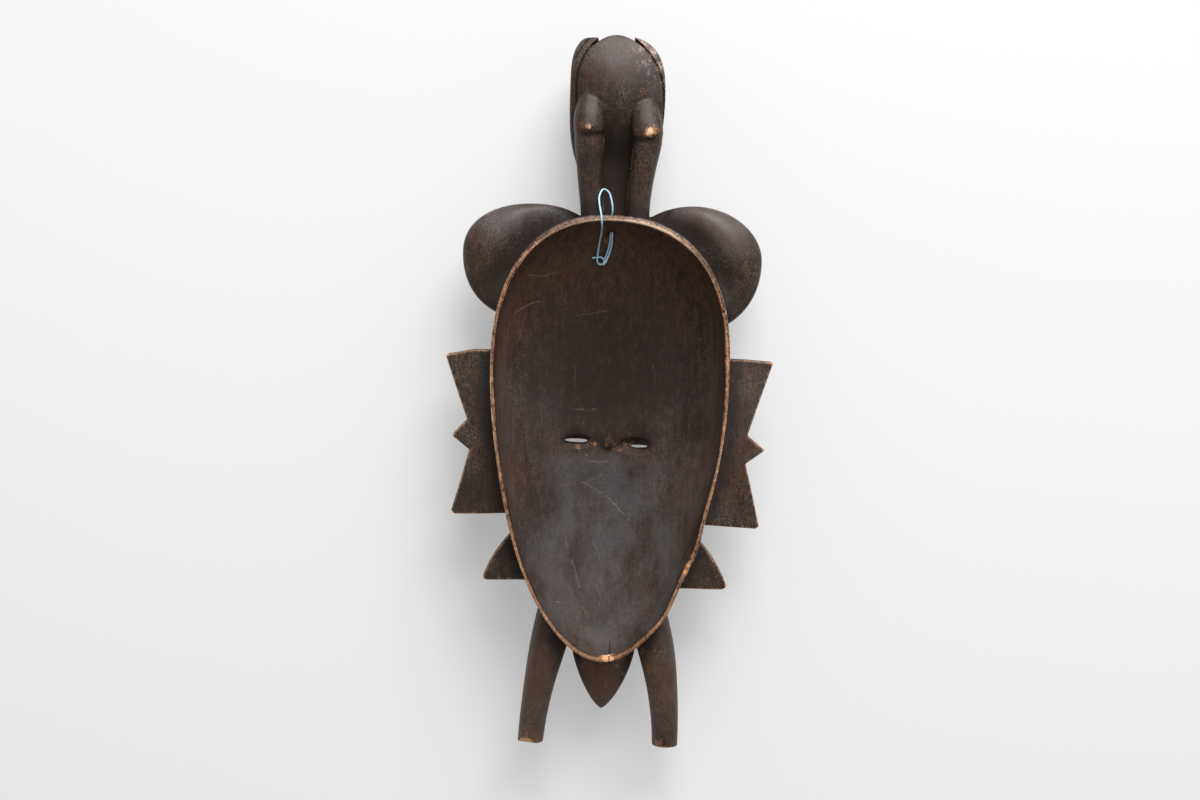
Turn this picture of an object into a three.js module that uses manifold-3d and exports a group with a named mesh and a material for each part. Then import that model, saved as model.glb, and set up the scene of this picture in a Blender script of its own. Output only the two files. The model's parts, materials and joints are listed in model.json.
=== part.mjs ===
// Ritual mask carved from one block of wood, with a bird for its crest, and its hanging wire.
// It lies on its face with the hollow back up. +X is right as seen from the back, +Y runs to the crest.
// Most forms are placed by their depth below the rim, the way a carver works from the back of the block.

import * as THREE from "three";
import { mergeVertices } from "three/addons/utils/BufferGeometryUtils.js";
import Module from "manifold-3d";

// Driving sizes, in millimetres. y = 0 is a little above the eyes, x = 0 is the middle of the face.
const rimHeight = 66; // from the floor to the rim

// Eggs: an outline with one half-width and two heights, each end with its own roundness
const faceEgg = {
  x: 0, y: 16.5, halfWidth: 65.5, above: 80, below: 167.6, roundAbove: 2.32, roundBelow: 1.93,
};
const hornEggs = {
  left: { x: -45, y: 74, halfWidth: 39.4, above: 28.3, below: 37, roundAbove: 2.2, roundBelow: 2.2 },
  right: { x: 45, y: 74, halfWidth: 38.6, above: 29.2, below: 42, roundAbove: 2, roundBelow: 2.1 },
};

// Shell
const faceDepth = 51; // rim to the outside of the cheeks
const faceCurve = 2.4; // how square the outside is from rim to middle
const hollowDepth = 41; // rim to the floor of the hollow
const hollowCurve = 2.2;
const lipWidth = 3.4; // of the rim
const lipRound = 1.2; // how far its edges are rounded off
const lipFlare = 0.8; // how far its inner edge leans out, as a share of lipRound
const shellSides = 42;
const shellRings = 7;
const forehead = { x: 0, y: 36, halfWidth: 47, above: 42, below: 43, roundAbove: 2.2, roundBelow: 2.2 };
const muzzle = { x: 0, y: -88, halfWidth: 31, above: 40, below: 44, roundAbove: 2, roundBelow: 2 };
const foreheadFront = 56; // how deep the swell of the forehead reaches
const muzzleFront = 53;
const swellDepth = 36; // rim to the middle of both swells

// Horns beside the forehead
const hornDepth = 27; // rim to the middle of a horn
const hornHalfThickness = 11.5;
const hornCurve = 2.2;
const hornGrooves = 2;
const hornGrooveRadius = 1.3;

// Flat boards beside the cheeks, each with two corners, two notches and a tooth between them
const boardDepth = 15;
const boardThickness = 10;
const boardInside = 52; // hidden in the wall
const boards = {
  left: { side: -1, top: [76, 20.2], corner: [91.5, 16.9], notch: [78.9, -18.8], tooth: [87.5, -28.2],
    lowNotch: [77.5, -35.9], lowCorner: [86.6, -70.5], bottom: [84.6, -72.4], root: [57.5, -71.4] },
  right: { side: 1, top: [76, 18.8], corner: [91.6, 18.2], notch: [78.2, -23.5], tooth: [88, -31.4],
    lowNotch: [77.4, -39.4], lowCorner: [86.5, -74.3], bottom: [84.8, -75.8], root: [56.6, -75] },
};

// Small fins below the boards
const finDepth = 17;
const finThickness = 9;
const fins = {
  left: {
    side: -1, start: [46, -76], middle: [62.6, -92], tip: [67.6, -108.2], under: [65.4, -109.6],
    end: [33, -109.2],
  },
  right: {
    side: 1, start: [46, -77], middle: [63.6, -92], tip: [70.4, -109.6], under: [67.6, -111.4],
    end: [33, -111.8],
  },
};

// Legs under the chin, round in section
const legEnd = -203.5; // both are sawn off square here
const legDepth = 26;
const legs = {
  left: {
    side: -1, middles: [[21.4, -112], [26.4, -132], [30.8, -150], [34.6, -169], [37.2, -188], [38.7, -206]],
  },
  right: {
    side: 1, middles: [[21.4, -112], [27.4, -133], [32, -151], [35.5, -170], [37.7, -189], [38.5, -206]],
  },
};
const legRadii = [11, 11, 10.2, 8.7, 7.7, 7.2];

// Pointed tongue of the chin
const chin = { x: 1.2, y: -148, halfWidth: 18.2, above: 26, below: 36.2, roundAbove: 2, roundBelow: 1.4 };
const chinDepth = 31;
const chinHalfThickness = 8;

// Bird on top, leaning a little to the left of the face. Its back and its folded wings are cut to one
// broad dome, which falls away between the legs.
const crestBase = { x: 1.1, y: 98 };
const crestLean = -0.022;
const webWidths = [[84, 17], [98, 17.8], [116, 19.8], [136, 20.5], [148, 19]];
const webDepth = 23.5; // between and behind the bird's legs
const webFront = 42;
const dome = { along: 165, halfWidth: 36, above: 42, below: 62, roundAbove: 2.6, roundBelow: 2.2 };
const domeDepth = 31;
const domeHalfThickness = 24.5;
const domeFall = { slope: 0.42, from: 158, ease: 12 };
const rump = { along: 165, halfWidth: 23.5, above: 30.6, below: 60, roundAbove: 1.85, roundBelow: 2.6 };
const rumpAside = 0.8; // the rump leans further over than the wings
const rumpLean = 0.058;
const wings = {
  left: { along: 162, halfWidth: 26.8, above: 34.2, below: 50, roundAbove: 3.8, roundBelow: 2.6 },
  right: { along: 162, halfWidth: 26, above: 33.2, below: 50, roundAbove: 2.8, roundBelow: 2.6 },
};
const wingTop = 193.9; // the left wing is cut off straight here
const wingsThick = 23; // from the middle of the dome to their front
const wingsLower = 0.9; // than the rump
const lineWidth = 1.2; // of the line cut round the rump
const lineDeep = 2.1;
const slotFrom = 189; // the tips of the wings stand free of the rump from here on
const slotWidth = 1.5;
// Legs of the bird: along, aside to the left and to the right, depth, half-width and half-thickness
const shins = [
  [86, 12.6, 11.8, 20.5, 6.5, 7.2], [102, 13.3, 12.3, 19.6, 6.6, 7.4], [113, 14.3, 13.3, 18.6, 6.8, 7.8],
  [124.6, 15, 14.8, 17.3, 7.3, 8.5], [133, 15.4, 16, 16.2, 7.9, 9], [140, 15.5, 16.5, 15.6, 8.3, 9.2],
  [147, 15.4, 16, 16.4, 7.4, 8.4],
];
const thighs = [
  [138.4, 15.7, 16.5, 12.8, 3.4, 4], [140.4, 15.7, 16.5, 12.8, 6.8, 7.4], [144.2, 15.7, 16.5, 12.8, 8.6, 9.4],
  [149, 15.7, 15.8, 13.6, 8.8, 9], [155, 15.3, 15, 15, 7.9, 7.8], [160, 15, 14.4, 16.6, 6.6, 6.6],
  [163.4, 14.8, 14.2, 18.2, 4.8, 5], [165.6, 14.7, 14.1, 19.6, 2.6, 3],
];
const rightThighLower = 1.8;
const head = { along: 165, halfWidth: 11, above: 16, below: 15, roundAbove: 2, roundBelow: 2 };
const headDepth = 53;
const headHalfThickness = 15;
const beak = [
  { along: 160, aside: 0, depth: 56, wide: 7.4, deep: 8.6 },
  { along: 142, aside: 0, depth: 57, wide: 5.8, deep: 7.2 },
  { along: 124, aside: 0, depth: 52.5, wide: 4.6, deep: 6 },
  { along: 108, aside: 0, depth: 44, wide: 3, deep: 4.4 },
];

// The face: calm and plain, with a long nose, half-closed eyes and a small square mouth
const brow = [[4, -18], [14, -9.5], [28, -7.5], [42, -14], [50, -25]];
const browRadius = 3;
const noseTop = -10;
const noseTip = -67;
const noseFront = 64;
const eye = { aside: 18.5, y: -31.5, halfWidth: 13.5, halfHeight: 8 };
const eyeStand = 3.5; // how far the lids stand out of the face
const slits = {
  left: { from: -24.6, to: -11.1, y: -32, height: 2.9 },
  right: { from: 13.7, to: 23.6, y: -34, height: 2.1 },
};
const socket = { aside: 18.2, y: -31.6, halfWidth: 9.6, halfHeight: 4.4, deeper: 3.2 };
const mouth = { y: -99, halfWidth: 12.5, halfHeight: 6.6 };
const mouthBase = { y: -97, halfWidth: 18, halfHeight: 13 };
const teeth = 5;
const toothGap = 1.2;
const cheekBars = 3;
const cheekBar = { aside: 37, y: -58, length: 8.5, halfHeight: 1.9, step: 7.5, stand: 1.8 };
const lozenge = { y: 34, halfWidth: 7, halfHeight: 12, stand: 2.2 };

// Hole for the wire, through the top of the shell between the bird's legs
const holeIn = { x: -1.3, y: 77, depth: 24.4 };
const holeOut = { x: -1.2, y: 101, depth: 13.5 };
const holeRadius = 2;

// Hanging wire, from its short tail to the hook that closes the eye
const wireDiameter = 1;
const wirePath = [
  [-11.6, 72.9, 27.4], [-9.1, 73.3, 27.5], [-6.7, 73.4, 27.6], [-4.9, 71.8, 28.5], [-5.4, 69.9, 29.4],
  [-7.5, 69.5, 29.3], [-8.9, 71.3, 27.6], [-8.7, 74.4, 25.6], [-8, 80.5, 21.4], [-7, 86.2, 14],
  [-6.6, 90, 4.2], [-6.8, 92.2, -0.3], [-7.1, 95, -0.9], [-7.6, 98.2, 1.6], [-8.5, 102.6, 7.6],
  [-8.6, 107.2, 11.2], [-6.6, 110.8, 13.3], [-3.8, 109.6, 13.8], [-2, 105.4, 13.6], [-1.2, 100.6, 13.4],
  [-1.4, 94, 16.8], [-1.6, 88.4, 19.2], [-1.9, 84.4, 21.1], [-2.2, 81, 22.9], [-3, 77.4, 25.1],
  [-4, 73.8, 27], [-5.1, 70.7, 27.9], [-5.3, 69.3, 27], [-4.4, 70.2, 26.1], [-2.9, 73.4, 25.6],
  [-1.7, 77.2, 24.2], [-1, 80.8, 22.2], [-0.8, 84.2, 20], [-0.7, 87.4, 18.6],
];
const wireSides = 6;
const wireSteps = 64;

const woodColour = 0x3b322c;
const wireColour = 0x8fb9cc;

const wasm = await Module();
wasm.setup();

// A closed three.js geometry as a solid that can be joined and cut
function solidOf(geometry) {
  const bare = geometry.clone();
  bare.deleteAttribute("normal");
  bare.deleteAttribute("uv");
  const merged = mergeVertices(bare, 1e-4);
  const points = merged.attributes.position.array;
  const corners = new Uint32Array(merged.index.array);
  if (signedVolume(points, corners) < 0) {
    for (let i = 0; i < corners.length; i += 3) {
      [corners[i], corners[i + 1]] = [corners[i + 1], corners[i]];
    }
  }
  return new wasm.Manifold(new wasm.Mesh({
    numProp: 3,
    vertProperties: new Float32Array(points),
    triVerts: corners,
  }));
}

function signedVolume(points, corners) {
  const a = new THREE.Vector3();
  const b = new THREE.Vector3();
  const c = new THREE.Vector3();
  let volume = 0;
  for (let i = 0; i < corners.length; i += 3) {
    a.fromArray(points, corners[i] * 3);
    b.fromArray(points, corners[i + 1] * 3);
    c.fromArray(points, corners[i + 2] * 3);
    volume += a.dot(b.cross(c)) / 6;
  }
  return volume;
}

function geometryOf(solid) {
  const mesh = solid.getMesh();
  const geometry = new THREE.BufferGeometry();
  geometry.setAttribute("position", new THREE.BufferAttribute(mesh.vertProperties, 3));
  geometry.setIndex(new THREE.BufferAttribute(mesh.triVerts, 1));
  return geometry;
}

// Moves every vertex of a geometry to the place that a function gives it
function formed(geometry, place) {
  const position = geometry.attributes.position;
  const vertex = new THREE.Vector3();
  for (let i = 0; i < position.count; i++) {
    vertex.fromBufferAttribute(position, i);
    const moved = place(vertex);
    position.setXYZ(i, moved.x, moved.y, moved.z);
  }
  return geometry;
}

const above = (depth) => rimHeight - depth;

// Direction that a turn round an egg points in: even turns give evenly spread points on its edge
function eggDirection(egg, turn) {
  const height = Math.sin(turn) > 0 ? egg.above : egg.below;
  return Math.atan2(Math.sin(turn) * height, Math.cos(turn) * egg.halfWidth);
}

// Distance from the middle of an egg to its edge in one direction
function eggReach(egg, angle) {
  const across = Math.abs(Math.cos(angle)) / egg.halfWidth;
  const up = Math.sin(angle);
  const along = Math.abs(up) / (up > 0 ? egg.above : egg.below);
  const round = up > 0 ? egg.roundAbove : egg.roundBelow;
  return (across ** round + along ** round) ** (-1 / round);
}

// How far a point is from the middle of an egg, as a share of the way to its edge
function eggShare(egg, x, y) {
  const angle = Math.atan2(y - egg.y, x - egg.x);
  return Math.hypot(x - egg.x, y - egg.y) / eggReach(egg, angle);
}

const onEgg = (egg, reach, angle, height) => new THREE.Vector3(
  egg.x + reach * Math.cos(angle), egg.y + reach * Math.sin(angle), height,
);

const cap = (share, curve) => Math.max(0, 1 - share ** curve) ** (1 / curve);

// Depth of the outside of the shell below the rim
const outsideDepth = (x, y) => faceDepth * cap(eggShare(faceEgg, x, y), faceCurve);

const shrunk = (egg, by) => ({
  ...egg, halfWidth: egg.halfWidth - by, above: egg.above - by, below: egg.below - by,
});

// A bowl on an egg outline: a profile of [share of the way out, depth] turned into rings.
// inset says how far the rings draw in at each depth.
function bowlShape(egg, profile, inset, sides) {
  const points = profile.map(([share, depth]) => new THREE.Vector2(share, depth));
  const lathe = new THREE.LatheGeometry(points, sides);
  return formed(lathe, (v) => {
    const share = Math.hypot(v.x, v.z);
    const angle = eggDirection(egg, Math.atan2(v.z, v.x));
    const reach = share * (eggReach(egg, angle) - inset(v.y));
    return onEgg(egg, reach, angle, above(v.y));
  });
}

const bowl = (egg, profile, inset) => solidOf(bowlShape(egg, profile, inset, shellSides));

function capProfile(depth, curve, least, rings = shellRings) {
  const points = [];
  for (let ring = 0; ring <= rings; ring++) {
    const turn = (ring / (rings + 0.6)) * Math.PI / 2;
    const share = Math.sin(turn) ** (2 / curve);
    points.push([share, least + (depth - least) * Math.cos(turn) ** (2 / curve)]);
  }
  return points;
}

function shellOutside() {
  const profile = [...capProfile(faceDepth, faceCurve, lipRound), [1, lipRound], [1, 0], [0, 0]];
  return bowl(faceEgg, profile, (depth) => Math.max(0, lipRound - depth));
}

const swells = () => [
  pillow(forehead, swellDepth, foreheadFront - swellDepth, 2.2, 22, 7),
  pillow(muzzle, swellDepth, muzzleFront - swellDepth, 2.2, 20, 7),
];

function hollow() {
  const over = 6; // the cutter reaches this far over the rim
  const wall = [[1, lipRound], [1, 0], [1, -over], [0, -over]];
  const profile = [...capProfile(hollowDepth, hollowCurve, lipRound), ...wall];
  const flare = (depth) => Math.min(0, Math.max(depth, 0) - lipRound) * lipFlare;
  return bowl(shrunk(faceEgg, lipWidth), profile, flare);
}

// A rounded mass on an egg outline, thick in the middle
function pillowShape(egg, depth, halfThickness, curve, sides, rings) {
  const ball = new THREE.SphereGeometry(1, sides, rings).rotateX(Math.PI / 2);
  return formed(ball, (v) => {
    const angle = eggDirection(egg, Math.atan2(v.y, v.x));
    const share = Math.hypot(v.x, v.y) ** (2 / curve);
    const reach = share * eggReach(egg, angle);
    const rise = Math.sign(v.z) * Math.abs(v.z) ** (2 / curve) * halfThickness;
    return onEgg(egg, reach, angle, above(depth) + rise);
  });
}

const pillow = (...sizes) => solidOf(pillowShape(...sizes));

// A round limb through a row of stations, each with its own middle and half-sizes
function limb(stations, sides, steps) {
  const places = stations.map((s) => new THREE.Vector3(s.x, s.y, above(s.depth)));
  const middles = new THREE.CatmullRomCurve3(places);
  const sizes = new THREE.CatmullRomCurve3(stations.map((s) => new THREE.Vector3(s.wide, s.deep, 0)));
  const rod = new THREE.CylinderGeometry(1, 1, 1, sides, steps);
  return solidOf(formed(rod, (v) => {
    const t = THREE.MathUtils.clamp(v.y + 0.5, 0, 1);
    const middle = middles.getPoint(t);
    const size = sizes.getPoint(t);
    const forward = middles.getTangent(t);
    const across = new THREE.Vector3(forward.y, -forward.x, 0).normalize();
    const upward = new THREE.Vector3().crossVectors(across, forward).normalize();
    return middle.addScaledVector(across, v.x * size.x).addScaledVector(upward, v.z * size.y);
  }));
}

// A flat board from an outline, between two depths, with its edges slightly broken
function board(outline, depth, thickness, edge = 0.8) {
  const geometry = new THREE.ExtrudeGeometry(outline, {
    depth: thickness - 2 * edge,
    bevelEnabled: edge > 0,
    bevelThickness: edge,
    bevelSize: edge,
    bevelOffset: -edge,
    bevelSegments: 1,
    curveSegments: 10,
  });
  return solidOf(geometry.translate(0, 0, above(depth + thickness) + edge));
}

const outlineOf = (points) => new THREE.Shape(points.map(([x, y]) => new THREE.Vector2(x, y)));

function box(from, to) {
  const size = new THREE.Vector3().subVectors(to, from);
  const middle = new THREE.Vector3().addVectors(from, to).multiplyScalar(0.5);
  return solidOf(new THREE.BoxGeometry(size.x, size.y, size.z).translate(middle.x, middle.y, middle.z));
}

function sideBoard(b) {
  const inside = [boardInside, b.top[1]];
  const low = [boardInside, b.root[1]];
  const corners = [inside, b.top, b.corner, b.notch, b.tooth, b.lowNotch, b.lowCorner, b.bottom, b.root, low];
  return board(outlineOf(corners.map(([x, y]) => [x * b.side, y])), boardDepth, boardThickness);
}

function fin(f) {
  const shape = new THREE.Shape();
  shape.moveTo(f.start[0] * f.side, f.start[1]);
  shape.quadraticCurveTo(f.middle[0] * f.side, f.middle[1], f.tip[0] * f.side, f.tip[1]);
  shape.lineTo(f.under[0] * f.side, f.under[1]);
  shape.lineTo(f.end[0] * f.side, f.end[1]);
  return board(shape, finDepth, finThickness);
}

function leg(l) {
  const stations = l.middles.map(([x, y], i) => ({
    x: x * l.side, y, depth: legDepth, wide: legRadii[i], deep: legRadii[i] * 0.95,
  }));
  return limb(stations, 12, 8);
}

// The bird is described along its own axis, which leans
const birdX = (along) => crestBase.x + (along - crestBase.y) * crestLean;
const onBird = (stations) => stations.map((s) => ({ ...s, x: birdX(s.along) + s.aside, y: s.along }));
const birdEgg = (form) => ({ ...form, x: birdX(form.along), y: form.along });

const grown = (egg, by) => shrunk(egg, -by);

function web() {
  const edge = (side) => webWidths.map(([y, width]) => [birdX(y) + side * width, y]);
  return board(outlineOf([...edge(1), ...edge(-1).reverse()]), webDepth, webFront - webDepth, 1);
}

// Upright sides on an egg outline, closed by a swelling in front
function columnShape(egg) {
  const front = capProfile(domeDepth + wingsThick, 2.6, domeDepth, 3);
  return bowlShape(egg, [...front, [1, domeDepth], [1, 0], [0, 0]], () => 0, 22);
}

const column = (egg) => solidOf(columnShape(egg));

// The rump's outline, grown by a little, on its own lean
function rumpColumn(by) {
  return solidOf(formed(columnShape(grown(birdEgg(rump), by)), (v) => (
    new THREE.Vector3(v.x + rumpAside - rumpLean * (v.y - rump.along), v.y, v.z)
  )));
}

function domeLowered(by) {
  const shape = pillowShape(birdEgg(dome), domeDepth, domeHalfThickness, 2.2, 22, 8);
  return solidOf(formed(shape, (v) => {
    const past = domeFall.from - v.y;
    const fall = domeFall.slope * (Math.hypot(past, domeFall.ease) + past) / 2;
    return new THREE.Vector3(v.x, v.y, v.z - fall - by);
  }));
}

// Both wings, each on its own side of the bird, with the line and the slots between them and the rump
function wingsAround() {
  const far = 300;
  const overlap = 4;
  const middle = birdX(wings.left.along);
  const corner = new THREE.Vector3(far, far, far);
  const leftSide = box(corner.clone().negate(), new THREE.Vector3(middle + overlap, wingTop, far));
  const rightSide = box(new THREE.Vector3(middle - overlap, -far, -far), corner);
  const mass = column(birdEgg(wings.left)).intersect(leftSide)
    .add(column(birdEgg(wings.right)).intersect(rightSide));
  const tips = box(new THREE.Vector3(-far, slotFrom, above(domeDepth + 4)), corner);
  const slots = rumpColumn(slotWidth).intersect(tips);
  const outside = mass.intersect(domeLowered(wingsLower)).subtract(rumpColumn(lineWidth));
  return outside.add(mass.intersect(domeLowered(lineDeep))).subtract(slots);
}

function birdLeg(rows, side, lower, steps) {
  return limb(rows.map(([along, left, right, depth, wide, deep]) => ({
    x: birdX(along) + (side < 0 ? -left : right), y: along - lower, depth, wide, deep,
  })), 10, steps);
}

function bird() {
  const forms = [
    web(),
    wingsAround(),
    rumpColumn(0).intersect(domeLowered(0)),
    pillow(birdEgg(head), headDepth, headHalfThickness, 2, 14, 7),
    limb(onBird(beak), 8, 6),
  ];
  for (const side of [-1, 1]) {
    forms.push(birdLeg(shins, side, 0, 6));
    forms.push(birdLeg(thighs, side, side > 0 ? rightThighLower : 0, 8));
  }
  return wasm.Manifold.union(forms);
}

function horn(egg) {
  let form = pillow(egg, hornDepth, hornHalfThickness, hornCurve, 24, 8);
  for (let i = 1; i <= hornGrooves; i++) {
    // Grooves on the front only, one inside the other
    const share = 0.34 + 0.17 * i;
    const ring = [];
    for (let step = 0; step <= 10; step++) {
      const turn = THREE.MathUtils.lerp(-0.36, 1.1, step / 10) * Math.PI / 2;
      const angle = egg.x < 0 ? Math.PI - turn : turn;
      const reach = share * eggReach(egg, angle);
      const front = hornDepth + hornHalfThickness * cap(share, hornCurve);
      ring.push({
        x: egg.x + reach * Math.cos(angle), y: egg.y + reach * Math.sin(angle),
        depth: front + 0.2, wide: hornGrooveRadius, deep: hornGrooveRadius,
      });
    }
    form = form.subtract(limb(ring, 4, 8));
  }
  return form;
}

function bars() {
  const forms = [];
  for (const side of [-1, 1]) {
    for (let i = 0; i < cheekBars; i++) {
      const y = cheekBar.y - i * cheekBar.step;
      const x = side * (cheekBar.aside - i * 1.5);
      const egg = {
        x, y, halfWidth: cheekBar.length, above: cheekBar.halfHeight, below: cheekBar.halfHeight,
        roundAbove: 2, roundBelow: 2,
      };
      forms.push(pillow(egg, outsideDepth(x, y) - 1.5, cheekBar.stand + 2.5, 2, 8, 4));
    }
  }
  return forms;
}

function brows() {
  return [-1, 1].map((side) => limb(brow.map(([x, y]) => ({
    x: side * x, y, depth: outsideDepth(x, y) + 1.2, wide: browRadius, deep: browRadius,
  })), 6, 8));
}

function nose() {
  const stations = [
    { x: 0, y: noseTop, depth: 47, wide: 3.6, deep: 9 },
    { x: 0, y: -26, depth: 48, wide: 3.8, deep: 11 },
    { x: 0, y: -46, depth: 48, wide: 4.8, deep: 14 },
    { x: 0, y: -61, depth: 48, wide: 7.6, deep: noseFront - 48 },
    { x: 0, y: noseTip, depth: 47, wide: 6, deep: 12 },
  ];
  return limb(stations, 8, 8);
}

function snout() {
  const rod = new THREE.CylinderGeometry(1, 1, 1, 16, 4);
  const top = above(muzzleFront - 8);
  const bottom = -2;
  return solidOf(formed(rod, (v) => {
    const t = THREE.MathUtils.clamp(0.5 - v.y, 0, 1); // 0 at the face, 1 at the lips
    const ease = 1 - (1 - t) ** 2.2;
    const square = (c) => Math.sign(c) * Math.abs(c) ** 0.75;
    const wide = THREE.MathUtils.lerp(mouthBase.halfWidth, mouth.halfWidth, ease);
    const high = THREE.MathUtils.lerp(mouthBase.halfHeight, mouth.halfHeight, ease);
    const y = THREE.MathUtils.lerp(mouthBase.y, mouth.y, ease);
    const height = THREE.MathUtils.lerp(top, bottom, t);
    return new THREE.Vector3(square(v.x) * wide, y + square(v.z) * high, height);
  }));
}

function mouthCuts() {
  const cuts = [];
  const inside = mouth.halfWidth - 2.5;
  cuts.push(box(
    new THREE.Vector3(-inside, mouth.y - toothGap / 2, -3),
    new THREE.Vector3(inside, mouth.y + toothGap / 2, 3),
  ));
  for (let i = 1; i < teeth; i++) {
    const x = THREE.MathUtils.lerp(-inside, inside, i / teeth);
    cuts.push(box(
      new THREE.Vector3(x - toothGap / 2, mouth.y - 3, -3),
      new THREE.Vector3(x + toothGap / 2, mouth.y + 3, 1.6),
    ));
  }
  return cuts;
}

function eyes() {
  return [-1, 1].map((side) => {
    const egg = {
      x: side * eye.aside, y: eye.y, halfWidth: eye.halfWidth, above: eye.halfHeight, below: eye.halfHeight,
      roundAbove: 2, roundBelow: 2,
    };
    return pillow(egg, outsideDepth(eye.aside, eye.y) - 3, eyeStand + 3, 2, 14, 6);
  });
}

function sockets() {
  return [-1, 1].map((side) => {
    const egg = {
      x: side * socket.aside, y: socket.y, halfWidth: socket.halfWidth, above: socket.halfHeight,
      below: socket.halfHeight, roundAbove: 2, roundBelow: 2,
    };
    return pillow(egg, hollowDepth - 2, socket.deeper + 1, 2, 12, 6);
  });
}

function slit(s) {
  const ends = new THREE.Shape();
  const half = s.height / 2;
  ends.absarc(s.from + half, s.y, half, Math.PI / 2, 1.5 * Math.PI);
  ends.absarc(s.to - half, s.y, half, -Math.PI / 2, Math.PI / 2);
  const geometry = new THREE.ExtrudeGeometry(ends, { depth: 40, bevelEnabled: false, curveSegments: 4 });
  return solidOf(geometry.translate(0, 0, above(hollowDepth + 22)));
}

function raisedLozenge() {
  const { y, halfWidth, halfHeight, stand } = lozenge;
  const points = [[0, y + halfHeight], [-halfWidth, y], [0, y - halfHeight], [halfWidth, y]];
  const front = foreheadFront + stand;
  return board(outlineOf(points), front - 10, 10, 0.6);
}

function wireHole() {
  const stations = [holeIn, holeOut].map((end) => ({ ...end, wide: holeRadius, deep: holeRadius }));
  return limb(stations, 10, 1);
}

function maskSolid() {
  const horns = Object.values(hornEggs).map(horn);
  const sides = [...Object.values(boards).map(sideBoard), ...Object.values(fins).map(fin)];
  const under = [...Object.values(legs).map(leg), pillow(chin, chinDepth, chinHalfThickness, 2, 18, 8)];
  const features = [...swells(), ...brows(), nose(), snout(), ...eyes(), ...bars(), raisedLozenge()];
  const whole = wasm.Manifold.union([shellOutside(), ...horns, ...sides, ...under, bird(), ...features]);
  const far = 300;
  const floorCut = box(new THREE.Vector3(-far, -far, -far), new THREE.Vector3(far, far, 0));
  const legCut = box(new THREE.Vector3(-far, -far, -far), new THREE.Vector3(far, legEnd, far));
  const through = [...Object.values(slits).map(slit), wireHole()];
  const cuts = [hollow(), ...sockets(), ...through, ...mouthCuts(), floorCut, legCut];
  return whole.subtract(wasm.Manifold.union(cuts));
}

function wireGeometry() {
  const points = wirePath.map(([x, y, depth]) => new THREE.Vector3(x, y, above(depth)));
  const route = new THREE.CatmullRomCurve3(points);
  const round = new THREE.Shape();
  for (let i = 0; i < wireSides; i++) {
    const angle = (i / wireSides) * 2 * Math.PI;
    const x = wireDiameter / 2 * Math.cos(angle);
    const y = wireDiameter / 2 * Math.sin(angle);
    if (i === 0) {
      round.moveTo(x, y);
    } else {
      round.lineTo(x, y);
    }
  }
  round.closePath();
  return new THREE.ExtrudeGeometry(round, { extrudePath: route, steps: wireSteps });
}

const group = new THREE.Group();
const wood = new THREE.MeshStandardMaterial({ color: woodColour, roughness: 0.55, metalness: 0 });
const coating = new THREE.MeshStandardMaterial({ color: wireColour, roughness: 0.4, metalness: 0 });
const mask = new THREE.Mesh(geometryOf(maskSolid()), wood);
mask.name = "mask";
const wire = new THREE.Mesh(wireGeometry(), coating);
wire.name = "hanging_wire";

// The origin is under the middle of the mask's own box
mask.geometry.computeBoundingBox();
const middle = mask.geometry.boundingBox.getCenter(new THREE.Vector3());
for (const piece of [mask, wire]) {
  piece.position.set(-middle.x, -middle.y, 0);
  group.add(piece);
}

export default group;
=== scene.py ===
# Ritual mask in dark stained wood, lying on its face with the hollow back up, and its hanging wire
import json
import math

import bmesh
import bpy
import numpy as np
from mathutils import Matrix, Vector

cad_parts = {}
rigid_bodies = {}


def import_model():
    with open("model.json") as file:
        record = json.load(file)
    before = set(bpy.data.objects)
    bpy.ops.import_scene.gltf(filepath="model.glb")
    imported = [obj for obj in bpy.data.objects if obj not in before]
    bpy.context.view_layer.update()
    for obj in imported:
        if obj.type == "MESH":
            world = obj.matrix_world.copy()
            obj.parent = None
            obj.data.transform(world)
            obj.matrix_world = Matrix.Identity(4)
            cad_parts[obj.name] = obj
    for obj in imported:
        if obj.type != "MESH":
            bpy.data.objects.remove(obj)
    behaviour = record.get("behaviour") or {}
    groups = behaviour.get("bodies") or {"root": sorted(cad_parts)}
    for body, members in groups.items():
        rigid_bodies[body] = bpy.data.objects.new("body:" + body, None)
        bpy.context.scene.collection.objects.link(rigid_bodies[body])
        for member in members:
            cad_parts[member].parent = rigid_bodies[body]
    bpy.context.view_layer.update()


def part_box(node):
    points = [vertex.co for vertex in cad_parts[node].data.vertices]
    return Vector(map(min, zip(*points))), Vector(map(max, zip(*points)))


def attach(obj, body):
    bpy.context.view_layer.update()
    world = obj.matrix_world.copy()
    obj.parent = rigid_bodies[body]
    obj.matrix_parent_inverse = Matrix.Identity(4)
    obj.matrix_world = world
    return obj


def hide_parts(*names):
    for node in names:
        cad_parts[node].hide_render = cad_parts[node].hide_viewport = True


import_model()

mm = 0.001

# The carving's own frame is in millimetres: y = 0 is a little above the eyes, x = 0 is the middle of the
# face, and a depth is measured down from the rim.
carving = {
    "rimHeight": 66.0,  # from the floor to the rim
    "legEnd": -203.5,  # both legs are sawn off here
    "leftCorner": -91.5,  # the furthest corner of the left board
    "gridStep": 0.8,  # size of the clay's grid
    "gridHalfWidth": 96.0,
    "gridTop": 204.0,
    "quickTimes": 1.5,
    "triangles": 127000,  # of the mask, before it is refined
    "scratchDepth": 0.15,
}


def cornerShift():
    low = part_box("mask")[0]
    return Vector((low.x / mm - carving["leftCorner"], low.y / mm - carving["legEnd"], 0))


shift = cornerShift()  # from the carving's own frame to the part's, in millimetres


def placed(point):
    return (Vector(point) + shift) * mm


def above(depth):
    return carving["rimHeight"] - depth


def linked(name, data):
    piece = bpy.data.objects.new(name, data)
    bpy.context.scene.collection.objects.link(piece)
    return piece


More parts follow.
